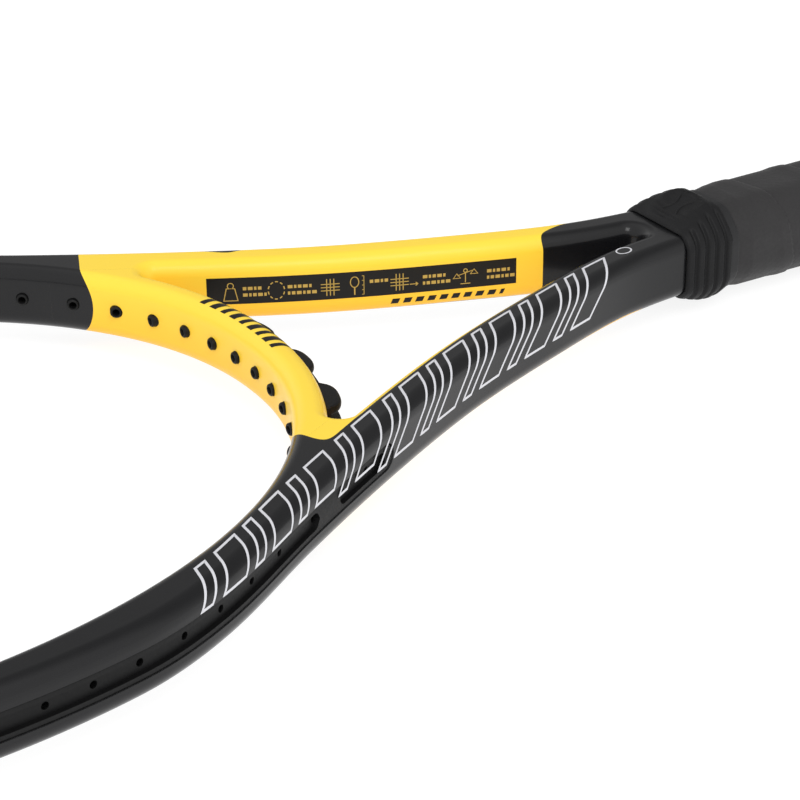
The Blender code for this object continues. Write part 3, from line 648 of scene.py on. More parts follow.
# ================================================================ materials
def paint_material():
    g = Graph("racket_lacquer")
    X, Y, Z = g.xyz()
    ax = g.m("ABSOLUTE", X)
    ys = np.linspace(184.0, 452.0, 120)
    xs = np.array([spline(ARM, y) for y in ys])
    slope = np.gradient(xs, ys)
    unit = g.m("MULTIPLY_ADD", Y, 1 / 134.0, -318.0 / 134.0)
    xo = g.poly(unit, np.polyfit((ys - 318.0) / 134.0, xs, 8))
    co = g.poly(unit, np.polyfit((ys - 318.0) / 134.0, 1 / np.sqrt(1 + slope**2), 6))
    depth = g.m("MULTIPLY", g.m("SUBTRACT", xo, ax), co)
    zz = g.m("MULTIPLY", Z, 1 / TUBE_H)
    zz = g.m("MULTIPLY", zz, zz)
    turn = g.m("SIGN", g.m("MULTIPLY", X, Z))                      # +1: the bright broad face, -1: the dark one
    bright = g.m("GREATER_THAN", turn, 0.0)
    right = g.m("GREATER_THAN", X, 0.0)
    f = g.m("ADD", g.m("MULTIPLY", ax, 0.397), g.m("MULTIPLY", Y, 0.918))
    fb_far = g.m("MULTIPLY_ADD", zz, 3.2, 354.2)
    fb_near = g.m("MULTIPLY_ADD", zz, 2.5, 350.5)
    fb = g.m("ADD", g.m("MULTIPLY", fb_far, right), g.m("MULTIPLY", fb_near, g.m("SUBTRACT", 1.0, right)))
    head = g.m("SUBTRACT", fb, f)                                  # yellow where positive
    # the dark broad face: only a line along the inner edge is yellow
    ab = g.m("MINIMUM", g.m("MULTIPLY_ADD", g.m("SUBTRACT", 340.0, Y), 0.016, 9.2), 12.0)
    ab = g.m("MAXIMUM", ab, 9.2)
    dark_side = g.m("SMOOTH_MIN", head, g.m("SUBTRACT", depth, ab), 7.0)
    # the bright broad face: only the outer wall is dark, with a scallop where the arm turns
    hump = g.m("MULTIPLY", g.m("SUBTRACT", Y, 315.0), 1 / 6.0)
    hump = g.m("DIVIDE", 4.0, g.m("ADD", 1.0, g.m("MULTIPLY", hump, hump)))
    bright_side = g.m("SMOOTH_MIN", head, g.m("SUBTRACT", depth, g.m("ADD", hump, 1.2)), 1.0)
    yellow = g.m("ADD", g.m("MULTIPLY", bright_side, bright), g.m("MULTIPLY", dark_side, g.m("SUBTRACT", 1.0, bright)))
    inward = g.m("SUBTRACT", 12.8, depth)
    yb = g.m("MULTIPLY_ADD", g.m("MULTIPLY", inward, inward), -0.15, 224.8)
    yellow = g.m("SMOOTH_MIN", yellow, g.m("SUBTRACT", Y, yb), 0.6)
    mask = g.m("GREATER_THAN", yellow, 0.0)

    tone = g.noise(9.0, 3.0, 0.5)
    # painted shade: the yellow turns deeper orange towards the bottom of the tube, with a random tone on top
    shade_and_tone = g.m("MULTIPLY_ADD", g.m("MULTIPLY", Z, 1 / TUBE_H), -0.28, 0.34)
    shade_and_tone = g.m("ADD", shade_and_tone, g.m("MULTIPLY", g.m("SUBTRACT", tone, 0.5), 0.12))
    shade_and_tone = g.m("MAXIMUM", g.m("MINIMUM", shade_and_tone, 1.0), 0.0)
    yellow_with_shade = g.mix(shade_and_tone, YELLOW_TOP, YELLOW_SHADED_UNDERSIDE)
    flake = g.voronoi(5200.0)
    flake = g.ramp(flake, 0.05, 0.6, 1.0, 0.0)
    cloud = g.ramp(g.noise(55.0, 4.0, 0.6), 0.3, 0.7, 0.0, 1.0)
    dark = g.mix(g.m("MULTIPLY", flake, 0.3), CHARCOAL, (0.016, 0.016, 0.018))
    dark = g.mix(g.m("MULTIPLY", cloud, 0.25), dark, (0.010, 0.010, 0.011))
    colour = g.mix(mask, dark, yellow_with_shade)
    peel = g.noise(620.0, 2.0, 0.4)
    wave = g.noise(70.0, 2.0, 0.5)
    bump = g.bump(peel, 0.000012, 0.5)
    bump = g.bump(wave, 0.00018, 0.25, bump)
    rough = g.m("MULTIPLY_ADD", mask, 0.17, g.ramp(g.noise(140.0, 3.0, 0.6), 0.3, 0.7, 0.19, 0.26))
    return g.set(Base_Color=colour, Roughness=rough, Specular_IOR_Level=0.25, Coat_Weight=0.1, Coat_Roughness=0.06,
                 Normal=bump)


def drilled_material():
    g = Graph("drilled_laminate")
    weave = g.node("ShaderNodeTexWave", wave_type="BANDS", bands_direction="DIAGONAL")
    g.put(weave.inputs["Vector"], g.coord)
    weave.inputs["Scale"].default_value = 900.0
    weave.inputs["Distortion"].default_value = 1.5
    colour = g.mix(weave.outputs["Fac"], (0.008, 0.008, 0.009), (0.02, 0.02, 0.021))
    return g.set(Base_Color=colour, Roughness=g.ramp(g.noise(400.0), 0.3, 0.7, 0.45, 0.7),
                 Normal=g.bump(weave.outputs["Fac"], 0.00006, 0.6))


def nylon_material():
    g = Graph("moulded_nylon")
    fine = g.noise(1500.0, 3.0, 0.6)
    broad = g.noise(120.0, 3.0, 0.5)
    colour = g.mix(broad, (0.0035, 0.0035, 0.0037), (0.006, 0.006, 0.0063))
    g.bsdf.inputs["Specular IOR Level"].default_value = 0.22
    bump = g.bump(fine, 0.00002, 0.6)
    bump = g.bump(broad, 0.00012, 0.3, bump)
    return g.set(Base_Color=colour, Roughness=g.ramp(fine, 0.3, 0.7, 0.48, 0.6), Normal=bump)


def wrap_material():
    g = Graph("polyurethane_wrap")
    pores = g.voronoi(1500.0)
    grain = g.noise(900.0, 4.0, 0.65)
    blotch = g.noise(45.0, 4.0, 0.6)
    leather = g.voronoi(520.0, "SMOOTH_F1")
    height = g.m("ADD", g.m("MULTIPLY", g.ramp(pores, 0.0, 0.35), 0.5), g.m("MULTIPLY", grain, 0.5))
    bump = g.bump(height, 0.00007, 0.7)
    bump = g.bump(leather, 0.00022, 0.35, bump)
    bump = g.bump(blotch, 0.0007, 0.25, bump)
    colour = g.mix(blotch, (0.017, 0.016, 0.0165), (0.026, 0.025, 0.026))
    # painted shade: the colour darkens in the middle of each pore dent
    colour = g.mix(g.ramp(pores, 0.0, 0.22, 0.5, 0.0), colour, (0.012, 0.012, 0.012))
    return g.set(Base_Color=colour, Roughness=g.ramp(grain, 0.25, 0.75, 0.6, 0.78), Sheen_Weight=0.06,
                 Specular_IOR_Level=0.3,
                 Sheen_Roughness=0.5, Normal=bump)


def rubber_material(name="collar_silicone", base=(0.0045, 0.0045, 0.005), rough=(0.5, 0.66)):
    g = Graph(name)
    fine = g.noise(2200.0, 2.0, 0.6)
    broad = g.noise(60.0, 3.0, 0.5)
    dust = g.ramp(g.noise(800.0, 5.0, 0.75), 0.62, 0.78, 0.0, 0.35)
    colour = g.mix(broad, base, tuple(1.5 * c for c in base))
    colour = g.mix(dust, colour, (0.016, 0.0155, 0.015))
    return g.set(Base_Color=colour, Roughness=g.ramp(fine, 0.3, 0.7, *rough), Specular_IOR_Level=0.22,
                 Normal=g.bump(fine, 0.00003, 0.5))


def plastic_material():
    g = Graph("cap_abs_plastic")
    spark = g.voronoi(1300.0, "SMOOTH_F1")
    fine = g.noise(1800.0, 3.0, 0.6)
    broad = g.noise(90.0, 3.0, 0.5)
    colour = g.mix(broad, (0.012, 0.012, 0.013), (0.020, 0.020, 0.021))
    bump = g.bump(g.m("ADD", g.m("MULTIPLY", spark, 0.6), g.m("MULTIPLY", fine, 0.4)), 0.00005, 0.6)
    return g.set(Base_Color=colour, Roughness=g.ramp(fine, 0.3, 0.7, 0.38, 0.52), Normal=bump)


def foam_material():
    g = Graph("pallet_foam")
    cells = g.voronoi(1100.0)
    broad = g.noise(60.0, 4.0, 0.6)
    colour = g.mix(broad, (0.62, 0.58, 0.48), (0.76, 0.73, 0.64))
    # painted shade: the colour darkens in the middle of each cell dent
    colour = g.mix(g.ramp(cells, 0.0, 0.3, 0.5, 0.0), colour, (0.35, 0.31, 0.24))
    return g.set(Base_Color=colour, Roughness=g.ramp(cells, 0.0, 0.6, 0.95, 0.8), Normal=g.bump(cells, 0.00025, 0.8))


def steel_material():
    g = Graph("staple_steel")
    brushed = g.noise(900.0, 3.0, 0.6, g.stretch((6.0, 0.6, 6.0)))
    colour = g.mix(brushed, (0.42, 0.42, 0.43), (0.62, 0.62, 0.63))
    return g.set(Base_Color=colour, Metallic=1.0, Roughness=g.ramp(brushed, 0.3, 0.7, 0.25, 0.42),
                 Normal=g.bump(brushed, 0.00001, 0.4))


def tape_material():
    g = Graph("electrical_tape")
    brushed = g.noise(700.0, 3.0, 0.6, g.stretch((1.0, 0.2, 1.0)))
    colour = g.mix(brushed, (0.010, 0.010, 0.011), (0.017, 0.017, 0.018))
    return g.set(Base_Color=colour, Roughness=g.ramp(brushed, 0.3, 0.7, 0.42, 0.55), Specular_IOR_Level=0.3, Normal=g.bump(brushed, 0.00004, 0.5))


def ink_material(name, base, other, rough, coat=0.4, level=0.5):
    """Screen-printed ink: a little uneven, on top of the lacquer."""
    g = Graph(name)
    fine = g.noise(1400.0, 3.0, 0.7)
    colour = g.mix(fine, base, other)
    return g.set(Base_Color=colour, Roughness=g.ramp(fine, 0.3, 0.7, rough, rough + 0.12), Coat_Weight=coat,
                 Coat_Roughness=0.08, Specular_IOR_Level=level, Normal=g.bump(fine, 0.00001, 0.4))


M_PAINT = paint_material()
M_DRILLED = drilled_material()
M_NYLON = nylon_material()
M_WRAP = wrap_material()
M_RUBBER = rubber_material()
M_CAP = plastic_material()
M_FOAM = foam_material()
M_STEEL = steel_material()
M_TAPE = tape_material()
M_SILVER = ink_material("silver_ink", (0.60, 0.60, 0.64), (0.70, 0.70, 0.73), 0.28)
M_BLACK_INK = ink_material("black_ink", (0.006, 0.006, 0.006), (0.010, 0.009, 0.008), 0.3, 0.0, 0.2)
M_GOLD_INK = ink_material("yellow_ink", (0.44, 0.29, 0.06), (0.52, 0.35, 0.08), 0.4, 0.0, 0.3)


# ================================================================ frame pieces
def make_frame():
    body = frame_solid("frame_skin", (M_PAINT, M_DRILLED))
    stations = groove_stations(S_GROOVE, EDGE.length, GROOVE_Z, 3.0)
    section = lambda z: [(-6.0, -z), (GROOVE_D, -z), (GROOVE_D, z), (-6.0, z)]
    rings = [ring_at(s, 1, section(z)) for s, z in stations]
    rings += [ring_at(s, -1, section(z)) for s, z in reversed(stations[:-1])]
    cut(body, loft("groove", rings, smooth=False))
    holes = [(side, s) for side in (1, -1) for s in hole_s]
    cut(body, hole_rods(holes, DRILL_R, 1.0, 4.0))
    cut(body, merge([rod((x, bridge_ends[x][0] - 4.0), (x, bridge_ends[x][1] + 4.0), DRILL_R) for x in bridge_x]))
    wells = []
    for side in (1, -1):
        rings = []
        for y in (SHAFT_Y0 - 3.0, 60.0):
            x0, x1, z, c = 1.0, SHAFT_X - 1.6, TUBE_H - 1.6, 2.4
            rings.append([(side * x, y, zz) for x, zz in ((x0, -z + c), (x0 + c, -z), (x1 - c, -z), (x1, -z + c),
                                                         (x1, z - c), (x1 - c, z), (x0 + c, z), (x0, z - c))])
        wells.append(loft("well", rings, smooth=False))
    cut(body, merge(wells))
    bridge = new_object("throat_bridge_skin", body.data.copy())
    cut(bridge, zone(0.0), "INTERSECT")
    cut(body, zone(0.02))
    body.name = "frame_hairpin_skin"
    for obj in (body, bridge):
        paint_normals(obj)
    finish_piece(body, "frame_paint", "frame_hairpin")
    finish_piece(bridge, "bridge_paint", "throat_bridge")


make_frame()


# ================================================================ grommets and bumper
def barrel(start, direction, length, n=20, r=BARREL_R):
    """A hollow sleeve with a rounded tip, closed all over."""
    tip = [(length - 0.55 + 0.55 * math.sin(a), r - 0.55 + 0.55 * math.cos(a)) for a in np.linspace(0, math.pi / 2, 5)]
    profile = [(0.0, BORE_R), (0.0, r)] + tip + [(length, BORE_R + 0.15), (length - 0.25, BORE_R)]
    return loft("barrel", lathe_profile((*start, 0.0), direction, profile, n), path_closed=True)


def barrels_at(holes, u0):
    made = []
    for side, s in holes:
        a, b = spot(side, s, u0), spot(side, s, hole_depth[s] + BARREL_OUT)
        made.append(barrel(a, np.subtract(b, a), math.dist(a, b)))
    return made


def rounded(section, r, steps=3):
    """A closed section with each corner rounded by up to r."""
    out = []
    n = len(section)
    for i in range(n):
        p, q, t = (np.array(section[k % n], float) for k in (i - 1, i, i + 1))
        a, b = p - q, t - q
        la, lb = np.linalg.norm(a), np.linalg.norm(b)
        d = min(r, la * 0.45, lb * 0.45)
        p0, p1 = q + a / la * d, q + b / lb * d
        for k in range(steps + 1):
            w = k / steps
            out.append(tuple((1 - w) ** 2 * p0 + 2 * w * (1 - w) * q + w * w * p1))
    return out


def side_strip(name, side, node):
    s0, s1 = S_GROOVE + 0.45, S_BUMPER - 0.8
    hz = GROOVE_Z - 0.22
    rings = []
    for s, z in groove_stations(s0, s1, hz, 3.0):
        z = max(z, 0.5)
        rings.append(ring_at(s, side, rounded([(2.7, -z), (0.28, -z), (0.28, z), (2.7, z)], 0.28)))
    strip = loft(name, rings, mats=(M_NYLON,))
    slots = ((EDGE.s_of_y(335.0), EDGE.s_of_y(357.0), True), (EDGE.s_of_y(367.0), s1 + 4.0, False))
    for a, b, ended in slots:
        cut(strip, slot_cutter(side, groove_stations(a, b, 2.55, 3.0, True, ended), -2.0, 1.75))
    mine = [(side, s) for s in hole_s if s < S_BUMPER - 3.0]
    cut(strip, hole_rods(mine, BORE_R, 0.0, 6.0))
    merge([strip] + barrels_at(mine, 2.3))
    by_angle(strip, 32.0)
    finish_piece(strip, "grommet_nylon", node)


side_strip("side_grommet_strip_right_fine", 1, "side_grommet_strip_right")
side_strip("side_grommet_strip_left_fine", -1, "side_grommet_strip_left")


def bumper_section(k):
    out = -(0.9 + (BUMPER_T - 0.9) * k)
    wing = 8.4 + 0.5 * k
    over = GAP + 0.05
    upper = [(GROOVE_D - GAP, GROOVE_Z - GAP), (-over, GROOVE_Z - GAP), (-over, 5.8), (1.05 - over, 8.3),
             (1.05 - over - 0.9, wing), (out * 0.55, 7.4), (out, 5.2), (out, 2.6), (1.5, 2.4)]
    return upper + [(u, -z) for u, z in reversed(upper)]


def make_bumper():
    marks = samples(S_BUMPER + 0.4, EDGE.length, 3.0)
    half = [(s, min(1.0, max(0.0, (s - marks[0]) / 14.0) ** 0.6)) for s in marks]
    rings = [ring_at(s, 1, rounded(bumper_section(k), 0.9, 4)) for s, k in half]
    rings += [ring_at(s, -1, rounded(bumper_section(k), 0.9, 4)) for s, k in reversed(half[:-1])]
    bumper = loft("head_bumper_guard_fine", rings, mats=(M_NYLON,))
    mine = [(side, s) for side in (1, -1) for s in hole_s if s > S_BUMPER + 3.0]
    cut(bumper, hole_rods(mine, BORE_R, -6.0, 6.0))
    merge([bumper] + barrels_at(mine, 2.2))
    by_angle(bumper, 32.0)
    finish_piece(bumper, "grommet_nylon", "head_bumper_guard")


make_bumper()


def hump(x):
    """Height of the bridge strip's rails: a dome over each pair of string holes, lower on the middle two."""
    d = abs((abs(x) % (2 * MAIN_PITCH)) - MAIN_PITCH) / 7.1
    dome = max(0.0, 1 - d**2.5) ** (1 / 2.2)
    return 1.7 + (3.4 if abs(x) < 2 * MAIN_PITCH else 4.1) * dome


def make_bridge_strip():
    rings = []
    end = MAIN_PITCH * 3 + 8.3
    for x in np.arange(-end, end + 0.01, end / 118):
        lo, hi = -math.pi / 2, 0.0
        for _ in range(40):
            mid = (lo + hi) / 2
            if oval(mid, BRIDGE_W)[0] < abs(x):
                lo = mid
            else:
                hi = mid
        side = -1 if x < 0 else 1
        p, q = np.array(oval(lo, BRIDGE_W)), np.array(oval(lo, BRIDGE_W + 1.0))
        p[0] *= side
        q[0] *= side
        d = q - p
        tall = hump(x)
        base = min(1.5, tall - 0.1)
        top = min(1.0, (tall - 1.5) / 2)
        sec = rounded([(0.1, -4.3), (0.1, 4.3), (tall - top * 1.3, 4.6), (tall - top * 0.25, 4.2), (tall, 3.3), (tall - top * 0.2, 2.1), (base, 1.3),
                       (base, -1.3), (tall - top * 0.2, -2.1), (tall, -3.3), (tall - top * 0.25, -4.2), (tall - top * 1.3, -4.6)], 0.5, 3)
        rings.append([(*(p + d * h), z) for h, z in sec])
    strip = loft("bridge_grommet_strip_fine", rings, mats=(M_NYLON,))
    cut(strip, merge([rod((x, bridge_ends[x][0] - 9.0), (x, bridge_ends[x][1] + 5.0), BORE_R) for x in bridge_x]))
    made = []
    for x in bridge_x:
        a, b = (x, bridge_ends[x][0] - 0.9), (x, bridge_ends[x][1] + BARREL_OUT)
        made.append(barrel(a, (0.0, 1.0), b[1] - a[1]))
    merge([strip] + made)
    by_angle(strip, 34.0)
    finish_piece(strip, "grommet_nylon", "bridge_grommet_strip")


make_bridge_strip()


# ================================================================ octagonal handle
def grown(base, g):
    hx, hz, c = base
    return hx + g, hz + g, c + g * (2 - math.sqrt(2))


def octagon(base, corner_r, per_edge=8, per_arc=5):
    """Rounded octagon as (x, z) points and outward normals, the same count for every size."""
    hx, hz, c = base
    pts = [(hx, -hz + c), (hx, hz - c), (hx - c, hz), (-hx + c, hz), (-hx, hz - c), (-hx, -hz + c), (-hx + c, -hz), (hx - c, -hz)]
    tan = math.tan(math.pi / 8)
    out, nrm = [], []
    for i in range(8):
        a0 = -math.pi / 4 + math.pi / 4 * i
        a1 = a0 + math.pi / 4
        p, q = np.array(pts[i]), np.array(pts[(i + 1) % 8])
        e = (q - p) / np.linalg.norm(q - p)
        r = min(corner_r, 1.45 * c)
        centre = p - r * np.array([math.cos(a1), math.sin(a1)]) + e * r * tan
        for k in range(per_arc):
            a = a0 + (a1 - a0) * k / per_arc
            out.append(centre + r * np.array([math.cos(a), math.sin(a)]))
            nrm.append((math.cos(a), math.sin(a)))
        start, stop = p + e * r * tan, q - e * r * tan
        for k in range(per_edge):
            out.append(start + (stop - start) * k / per_edge)
            nrm.append((math.cos(a1), math.sin(a1)))
    return np.array(out), np.array(nrm)


def sleeve(name, ys, outer, inner, mats):
    """A closed tube along Y from functions y -> ring of (x, z) points."""
    rings = [[(x, y, z) for x, z in outer(y)] for y in ys]
    rings += [[(x, y, z) for x, z in inner(y)] for y in reversed(ys)]
    return loft(name, rings, path_closed=True, mats=mats)


WRAP_G = ((4.5, 2.35), (8.0, 2.2), (16.0, 1.7), (24.0, 1.55), (36.0, 0.25), (46.0, 0.0), (160.5, 0.0), (165.5, -0.75), (171.5, -0.75))
WRAP_PITCH, WRAP_LAP = 24.0, 4.0


def make_wrap():
    gy, gg = zip(*WRAP_G)

    def outer(y):
        pts, nrm = octagon(grown(WRAP, float(np.interp(y, gy, gg)) - 0.1), float(np.interp(y, (5.0, 40.0), (2.5, 10.5))), 6, 12)
        turn = np.arctan2(pts[:, 1], pts[:, 0]) / (2 * math.pi)
        phase = ((y - 12.0) / WRAP_PITCH + turn) % 1.0
        mm = phase * WRAP_PITCH                       # distance from this turn's own edge
        edge = np.clip(mm / 0.7, 0, 1)
        lip = np.where(mm < WRAP_LAP, 0.42 * np.sqrt(np.clip(1 - (1 - edge) ** 2, 0, 1)), 0.42 * np.clip(1 - (mm - WRAP_LAP) / 5.0, 0, 1) ** 1.5)
        near_end = np.clip((mm - (WRAP_PITCH - 0.8)) / 0.8, 0, 1)
        swell = 0.10 * np.sin(math.pi * np.clip(mm / WRAP_PITCH, 0, 1))
        g = lip + swell - 0.12 * near_end
        g *= np.clip((169.5 - y) / 5.0, 0, 1) * np.clip((y - 5.0) / 4.0, 0.2, 1)
        return pts + nrm * g[:, None]

    in_y = (0.0, 4.1, 16.0, 24.4, 26.4, 175.0)

    def inner(y):
        sizes = (grown(CAP_SEAT, 0.35), grown(CAP_SEAT, 0.35), grown(CAP_SKIRT, 0.35), grown(CAP_SKIRT, 0.35),
                 grown(PALLET, 0.15), grown(PALLET, 0.15))
        base = tuple(float(np.interp(y, in_y, [q[k] for q in sizes])) for k in range(3))
        return octagon(base, 0.6, 6, 12)[0]

    ys = list(np.arange(4.5, 171.51, 0.5))
    wrap = sleeve("grip_wrap_spiral", ys, outer, inner, (M_WRAP,))
    by_angle(wrap, 50.0)
    finish_piece(wrap, "wrap_polyurethane", "grip_wrap")


make_wrap()


def smoothstep(x, a, b):
    t = np.clip((x - a) / (b - a), 0, 1)
    return t * t * (3 - 2 * t)


def crest(y, g=0.0):
    """The collar's outside at y, before its ribs."""
    ys, sizes = [c[0] for c in COLLAR], [c[1:] for c in COLLAR]
    return grown(tuple(float(np.interp(y, ys, [q[k] for q in sizes])) for k in range(3)), g)


def make_collar():
    y0, y1 = COLLAR[0][0], COLLAR[-1][0]
    grooves = [RIB_Y0 + RIB_PITCH * i for i in range(4)]

    def pad(x, y):
        d = (np.abs(x / 9.6) ** 3.0 + np.abs((y - BADGE_Y) / 8.6) ** 3.0) ** (1 / 3.0)
        return 1 - smoothstep(d, 0.84, 1.08)

    def outer(y):
        pts, nrm = octagon(crest(y), 9.0, 10, 10)
        g = np.zeros(len(pts))
        for yr in grooves:
            g -= 0.85 * math.exp(-abs((y - yr) / 0.72) ** 3)
        top = pts[:, 1] > 0
        g *= np.where(top, 1 - smoothstep(nrm[:, 1], 0.80, 0.985), 1.0)
        p = np.where(top, pad(pts[:, 0], y), 0.0)
        lip = -0.5 * max(0.0, 1 - (y - y0) / 0.8) ** 2 - 0.9 * max(0.0, 1 - (y1 - y) / 0.9) ** 2
        out = pts + nrm * (g * (1 - p) + lip)[:, None]
        out[:, 1] += 0.6 * p * np.clip(nrm[:, 1], 0, 1)
        r = np.hypot(out[:, 0] / 6.9, (y - BADGE_Y) / 6.9)
        seat = 1 - smoothstep(r, 0.97, 1.05)
        ridge = np.exp(-((r - 0.86) / 0.06) ** 2)
        out[:, 1] += np.where(top, -0.40 * seat + 0.44 * ridge, 0.0) * (p > 0.4)
        return out

    def inner(y):
        a, b, c = grown(WRAP, -0.1), grown(PALLET, GAP), NECK
        f = float(np.clip((y - 171.8) / 0.6, 0, 1))
        h = float(np.clip((y - 175.9) / 1.4, 0, 1))
        base = [a[k] + (b[k] - a[k]) * f for k in range(3)]
        base = tuple(base[k] + (c[k] - base[k]) * h for k in range(3))
        return octagon(base, 0.6, 10, 10)[0]

    ys = list(np.arange(y0, y1 + 0.01, 0.2))
    collar = sleeve("grip_collar_ribbed", ys, outer, inner, (M_RUBBER,))
    by_angle(collar, 60.0)
    finish_piece(collar, "collar_rubber", "grip_collar")

    # raised seam lines of a ball on the badge
    made = []
    for sign in (1, -1):
        line = np.array([(sign * (1.9 + 2.5 * t * t), BADGE_Y + 4.4 * t) for t in np.linspace(-1, 1, 25)])
        d = np.gradient(line, axis=0)
        d /= np.linalg.norm(d, axis=1)[:, None]
        n = np.stack([-d[:, 1], d[:, 0]], 1)
        rings = []
        for i, q in enumerate(line):
            w = 0.42 * min(1.0, 0.35 + 4 * (1 - abs(i - 12) / 12))
            z = crest(q[1])[1] + 0.6 - 0.36
            rings.append([(*(q + n[i] * w * math.cos(a)), z - 0.12 + (w * 0.8 + 0.12) * math.sin(a)) for a in np.linspace(0, math.pi, 7)])
        made.append(loft("seam", rings, mats=(M_RUBBER,)))
    badge = merge(made, "collar_badge_seams")
    by_angle(badge, 50.0)
    finish_piece(badge, "collar_rubber")


make_collar()


def make_tape():
    def outer(y):
        edge = 0.12 * max(0.0, 1 - (y - 166.1) / 0.25) ** 2
        pts, nrm = octagon(grown(WRAP, -0.3 - edge), 10.5, 6, 12)
        turn = (np.arctan2(pts[:, 1], pts[:, 0]) + 2.2) % (2 * math.pi)
        return pts + nrm * (0.09 * (1 - smoothstep(turn, 0.0, 0.05)) + 0.09 * smoothstep(turn, 5.6, 5.65))[:, None]

    tape = sleeve("grip_tape_band", list(np.arange(166.1, 171.11, 0.25)), outer,
                  lambda y: octagon(grown(WRAP, -0.6), 10.5, 6, 12)[0], (M_TAPE,))
    by_angle(tape, 50.0)
    finish_piece(tape, "finishing_tape", "grip_finishing_tape")


make_tape()


# ================================================================ CAD nodes that stay
def soften(node, mat, width, slot_angle=30.0):
    obj = NODES[node]
    obj.data.materials.clear()
    obj.data.materials.append(mat)
    weld = obj.modifiers.new("weld", "WELD")
    weld.merge_threshold = 2e-6
    bevel = obj.modifiers.new("bevel", "BEVEL")
    bevel.width = width * MM
    bevel.segments = 3
    bevel.limit_method = "ANGLE"
    bevel.angle_limit = math.radians(slot_angle)
    bevel.harden_normals = True
    bevel.use_clamp_overlap = True


soften("butt_cap", M_CAP, 0.35, 25.0)
soften("butt_cap_trap_door", M_CAP, 0.25)
soften("pallet_front_half", M_FOAM, 0.2)
soften("pallet_back_half", M_FOAM, 0.2)
for node in NODES:
    if node.startswith("butt_cap_staple"):
        soften(node, M_STEEL, 0.12)


# ================================================================ printed marks on the lacquer
_ARC_A = np.linspace(0, math.pi / 2, 60)
_ARC_P = np.stack([ROUND_IN * (1 - np.cos(_ARC_A)), WALL_Z + (TUBE_H - WALL_Z) * np.sin(_ARC_A)], 1)
_ARC_S = WALL_Z + np.r_[0, np.cumsum(np.linalg.norm(np.diff(_ARC_P, axis=0), axis=1))]
SHOULDER_V = float(_ARC_S[-1])


def profile(v):
    """Depth, height and normal (outward, up) of the tube's section at girth v from the middle of the outer wall."""
    v = np.asarray(v, float)
    w = np.abs(v)
    a = np.interp(w, _ARC_S, _ARC_A)
    depth = np.where(w <= WALL_Z, 0.0, np.where(w >= SHOULDER_V, ROUND_IN + w - SHOULDER_V, ROUND_IN * (1 - np.cos(a))))
    z = np.where(w <= WALL_Z, w, np.where(w >= SHOULDER_V, TUBE_H, WALL_Z + (TUBE_H - WALL_Z) * np.sin(a)))
    no, nz = np.cos(a) / ROUND_IN, np.sin(a) / (TUBE_H - WALL_Z)
    no = np.where(w <= WALL_Z, 1.0, np.where(w >= SHOULDER_V, 0.0, no))
    nz = np.where(w <= WALL_Z, 0.0, np.where(w >= SHOULDER_V, 1.0, nz))
    l = np.hypot(no, nz)
    return depth, z * np.sign(v), no / l, nz / l * np.sign(v)


LIFT = 0.035


def on_arm(side):
    """(s, girth) on the outside of an arm -> a point just proud of the lacquer."""
    def place(q, lift=LIFT):
        q = np.atleast_2d(q)
        depth, z, no, nz = profile(q[:, 1])
        p, n = EDGE.at(q[:, 0])
        xy = p + n * (depth - no * lift)[:, None]
        return np.stack([side * xy[:, 0], xy[:, 1], z + nz * lift], 1)
    return place


def on_inside(side):
    """(s, girth) on the throat side of an arm."""
    def place(q, lift=LIFT):
        q = np.atleast_2d(q)
        depth, z, no, nz = profile(q[:, 1])
        p, n = EDGE.at(q[:, 0])
        xy = p + n * (TUBE_W - depth + no * lift)[:, None]
        return np.stack([side * xy[:, 0], xy[:, 1], z + nz * lift], 1)
    return place


def on_bridge(q, lift=LIFT):
    """(x, girth from the throat side's wall) over the top of the bridge."""
    q = np.atleast_2d(q)
    depth, z, no, nz = profile(q[:, 1])
    width = BRIDGE_W
    over = q[:, 1] > SHOULDER_V + (width - 2 * ROUND_IN)
    back = 2 * SHOULDER_V + (width - 2 * ROUND_IN) - q[:, 1]
    depth2, z2, no2, nz2 = profile(back)
    off = np.where(over, depth2, width - depth) + np.where(over, -no2, no) * lift
    zz = np.where(over, z2 + nz2 * lift, z + nz * lift)
    out = []
    for x, o, h in zip(q[:, 0], off, zz):
        t = -math.pi / 2 + math.copysign(1, x) * 0.0
        lo, hi = -math.pi / 2, -math.pi / 2 + 1.0
        for _ in range(30):
            mid = (lo + hi) / 2
            if oval(mid, BRIDGE_W / 2)[0] < abs(x):
                lo = mid
            else:
                hi = mid
        px, py = oval(lo, o)
        out.append((math.copysign(px, x), py, h))
    return np.array(out)


def dense(points, closed, step=0.7):
    out = []
    n = len(points)
    for i in range(n if closed else n - 1):
        a, b = np.array(points[i], float), np.array(points[(i + 1) % n], float)
        k = max(1, math.ceil(np.linalg.norm(b - a) / step))
        out += [a + (b - a) * j / k for j in range(k)]
    if not closed:
        out.append(np.array(points[-1], float))
    return np.array(out)


